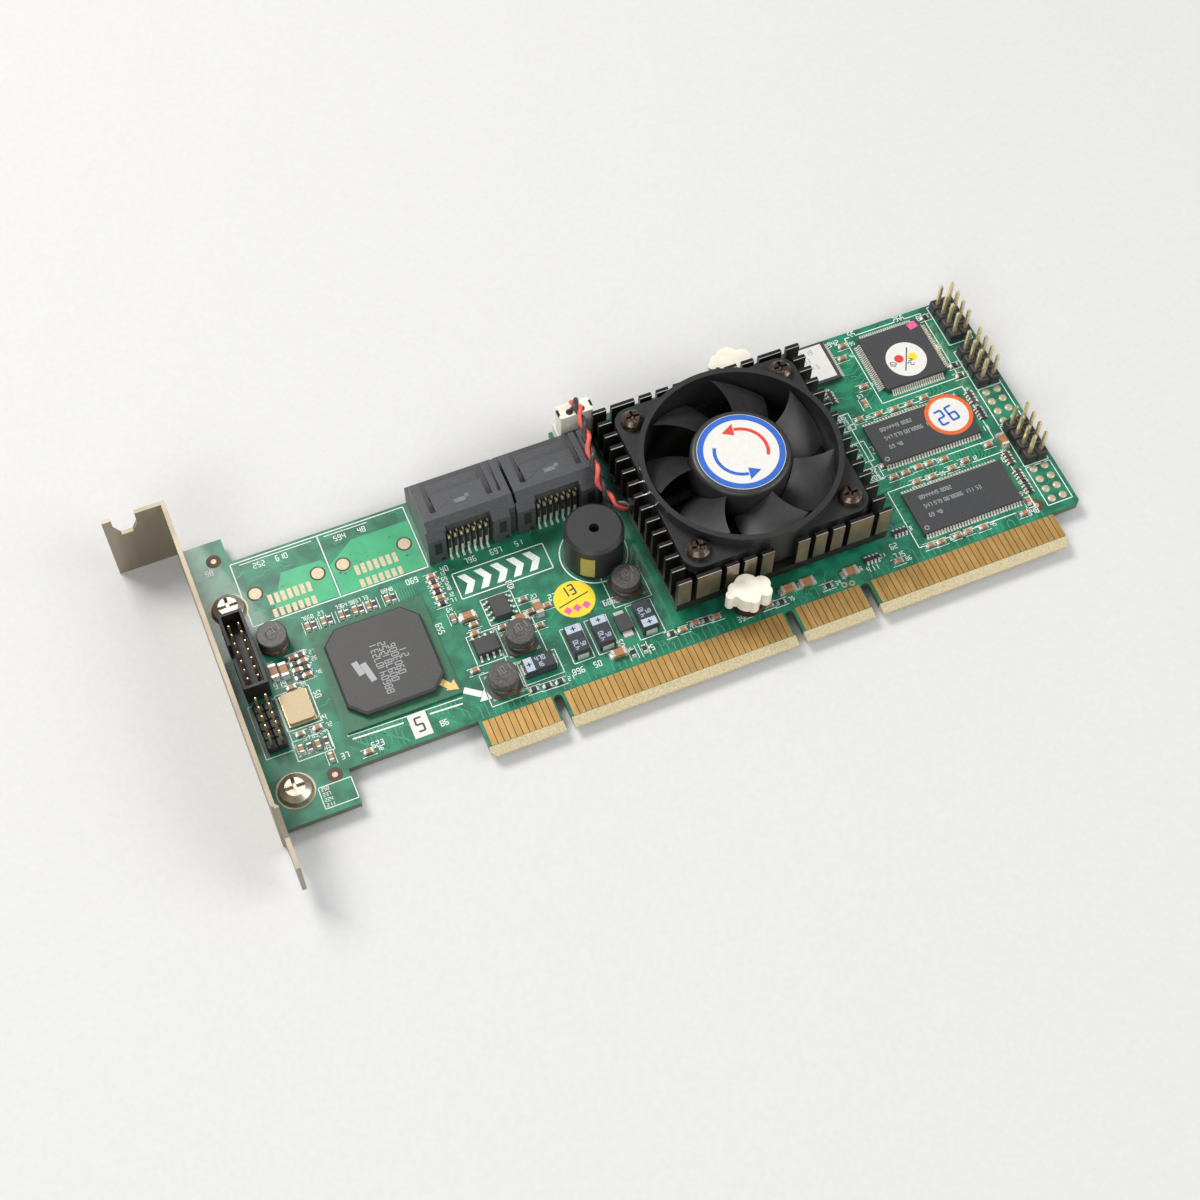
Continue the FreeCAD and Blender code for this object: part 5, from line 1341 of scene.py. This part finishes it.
def build_stickers():
    """Paper labels on the chips and on the board, with discs, bars and numbers on them."""
    logic = middle("logic_chip")
    logic_top = SPANS["logic_chip"][1].z
    memory = middle("memory_chip_2")
    memory_top = SPANS["memory_chip_2"][1].z
    badge = (memory.x + 6.65, memory.y + 1.15)
    paper = Form()
    paper.block(-10.25, 11.3, FACE + 0.02, 3.6, 5.2, LABEL_THICKNESS)
    paper.prism(disc(logic.x + 0.1, logic.y - 1.5, 4.3), over(logic_top, LABEL_THICKNESS))
    paper.prism(disc(*badge, 5.0, 48), over(memory_top, LABEL_THICKNESS))
    paper.piece("paper_labels", LABEL, "label_white", smooth=0)
    # the badge on a memory chip
    orange = Form()
    orange.ring(*badge, 4.15, 5.0, 48, over(memory_top + LABEL_THICKNESS, 0.02))
    orange.piece("badge_ring", ORANGE, "label_white", smooth=0)
    blue = Form()
    number(blue, "26", badge[0] - 2.3, badge[1] - 2.0, 3.4, 8, 0.14,
           over(memory_top + LABEL_THICKNESS))
    blue.piece("badge_mark", BLUE, "label_white", smooth=0)
    # the label on the logic chip, and the numbered one under the controller
    print_layer = over(logic_top + LABEL_THICKNESS)
    red = Form(*print_layer)
    red.prism(disc(logic.x - 1.3, logic.y - 0.9, 1.0, 20))
    red.piece("logic_label_red", RED, "label_white", smooth=0)
    lines = Form(*print_layer)
    lines.prism(turned_rectangle(logic.x + 0.1, logic.y - 1.5, 6.0, 0.25, 62))
    number(lines, "10", logic.x - 3.0, logic.y - 2.9, 1.2, 60)
    number(lines, "24", logic.x + 0.9, logic.y - 3.4, 1.2, 60)
    number(lines, "5", -10.95, 9.9, 2.9, 0, 0.13, over(FACE + 0.08, 0.02))
    lines.piece("label_lines", CHIP, "chip_black", smooth=0)
    # the arrow at the controller's first corner
    arrow = Form(*over(SPANS["controller_substrate"][1].z, 0.02))
    arrow.prism([(-4.9, 18.4), (-3.7, 19.2), (-1.9, 17.0), (-2.9, 16.2)])
    arrow.prism([(-3.3, 15.9), (-0.9, 15.3), (-1.2, 17.6)])
    arrow.piece("corner_arrow", ARROW, "label_white", smooth=0)
    # the yellow disc on the logic chip's label, and the round yellow label on the board
    yellow = Form(*print_layer)
    yellow.prism(disc(logic.x + 1.6, logic.y - 1.4, 1.0, 20))
    yellow.prism(disc(26.7, 25.4, 4.1, 48), over(FACE + 0.03, 0.09))
    yellow.piece("yellow_labels", YELLOW, "label_white", smooth=0)
    # pink marks beside the logic chip, and what is printed on the yellow label
    yellow_top = FACE + 0.12
    pink = Form()
    pink.block(logic.x + 5.2, logic.y + 5.9, logic_top, 2.0, 1.6, 0.03, 12)
    for step in range(3):
        pink.block(24.6 + step * 1.9, 23.4, yellow_top, 1.3, 1.3, 0.015, 35)
    pink.piece("pink_marks", PINK, "label_white", smooth=0)
    dark = Form(*over(yellow_top))
    number(dark, "13", 25.0, 26.2, 2.2, 8)
    dark.ribbon([(23.2, 24.6), (29.8, 26.0)], 0.25)
    dark.piece("yellow_label_print", CHIP, "chip_black", smooth=0)


# ------------------------------------------------ stage, light and camera

# the camera stands in front of the card and above it, and looks down along the card
CAMERA_PLACE = Vector((-46.63, -154.56, 341.32)) * MM
CAMERA_LOOK = Vector((0.1983, 0.4531, -0.8691))
CAMERA_RIGHT = Vector((0.9236, -0.3833, 0.0110))
CAMERA_LENS = 60.7


def build_stage():
    """A pale floor that the card lies on."""
    floor_mesh = bpy.data.meshes.new("floor")
    size = 3.0
    height = cad_box[0][2]
    floor_mesh.from_pydata([(-size, -size, height), (size, -size, height), (size, size, height),
                            (-size, size, height)], [], [[0, 1, 2, 3]])
    floor = link_object("floor", floor_mesh)
    floor_mesh.materials.append(finish("floor_paint", (0.60, 0.60, 0.59), 0.7, grain=900,
                                       contrast=0.02))


def area_lamp(name, place, target, size, power, color=(1, 1, 1)):
    lamp = bpy.data.lights.new(name, "AREA")
    lamp.shape = "RECTANGLE"
    lamp.size = size[0]
    lamp.size_y = size[1]
    lamp.energy = power
    lamp.color = color
    thing = link_object(name, lamp)
    thing.location = place
    thing.rotation_euler = (Vector(target) - Vector(place)).to_track_quat("-Z", "Y").to_euler()


def build_light():
    world = bpy.data.worlds.new("studio")
    bpy.context.scene.world = world
    world.use_nodes = True
    ground = world.node_tree.nodes["Background"]
    ground.inputs["Color"].default_value = (0.92, 0.95, 1.0, 1.0)
    ground.inputs["Strength"].default_value = 0.42
    centre = (0.045, 0.03, 0.0)
    area_lamp("key", (-0.25, 0.55, 0.75), centre, (0.45, 0.35), 7.5, (1.0, 0.97, 0.93))
    area_lamp("fill", (0.65, -0.35, 0.6), centre, (0.6, 0.5), 4.0)
    area_lamp("front", (-0.45, -0.5, 0.5), centre, (0.5, 0.3), 2.6)


def build_camera():
    camera = bpy.data.cameras.new("camera")
    camera.lens = CAMERA_LENS
    camera.sensor_width = 36.0
    camera.clip_start = 0.01
    thing = link_object("camera", camera)
    up = CAMERA_RIGHT.cross(CAMERA_LOOK).normalized()
    right = CAMERA_LOOK.cross(up).normalized()
    back = -CAMERA_LOOK.normalized()
    turn = Matrix((right, up, back)).transposed().to_4x4()
    thing.matrix_world = Matrix.Translation(CAMERA_PLACE) @ turn
    bpy.context.scene.camera = thing
    bpy.context.scene.view_settings.view_transform = "Standard"


# ------------------------------------------------ the whole card

def dress_nodes():
    """The finish of every CAD node that is seen as it is."""
    dress(MASK, "circuit_board")
    dress(ZINC, "mounting_bracket", bevel=0.15)
    dress(NICKEL, "bracket_screw_1", "bracket_screw_2", smooth=30, bevel=0.1)
    dress(CAP, "controller_cap", bevel=0.3)
    dress(SUBSTRATE, "controller_substrate", bevel=0.05)
    dress(TIN, "tantalum_leads", bevel=0.03)
    dress(CHIP, "diode_body", "processor_package", bevel=0.1)
    dress(BLACK, "buzzer_case", bevel=0.08)
    dress(BLACK, "battery_header_shroud", bevel=0.1)
    dress(CAN, "oscillator_can", bevel=0.15)
    dress(ANODISED, "heatsink", "heatsink_fins", smooth=30)
    dress(NYLON, "retention_pin_1", "retention_pin_2", smooth=40, bevel=0.2)
    dress(LABEL, "thermal_pad")
    dress(FAN_BLACK, "fan_frame", smooth=40, bevel=0.12)
    dress(COPPER, "fan_stator")
    dress(PIN_GOLD, "fan_shaft")
    dress(BRONZE, "fan_screw_1", "fan_screw_2", "fan_screw_3", "fan_screw_4", smooth=30,
          bevel=0.08)
    dress(NYLON, "fan_header", "fan_plug", bevel=0.15)


for build in (dress_nodes, build_fingers, build_traces, build_small_parts, build_pads, build_ink,
              build_leaded_chips, build_chip_marks, build_regulators, build_chokes,
              build_small_choke, build_tantalums, build_buzzer, build_headers,
              build_oscillator_foot, build_sockets, build_heatsink, build_fan, build_lead,
              build_plug, build_stickers, build_stage, build_light, build_camera):
    build()
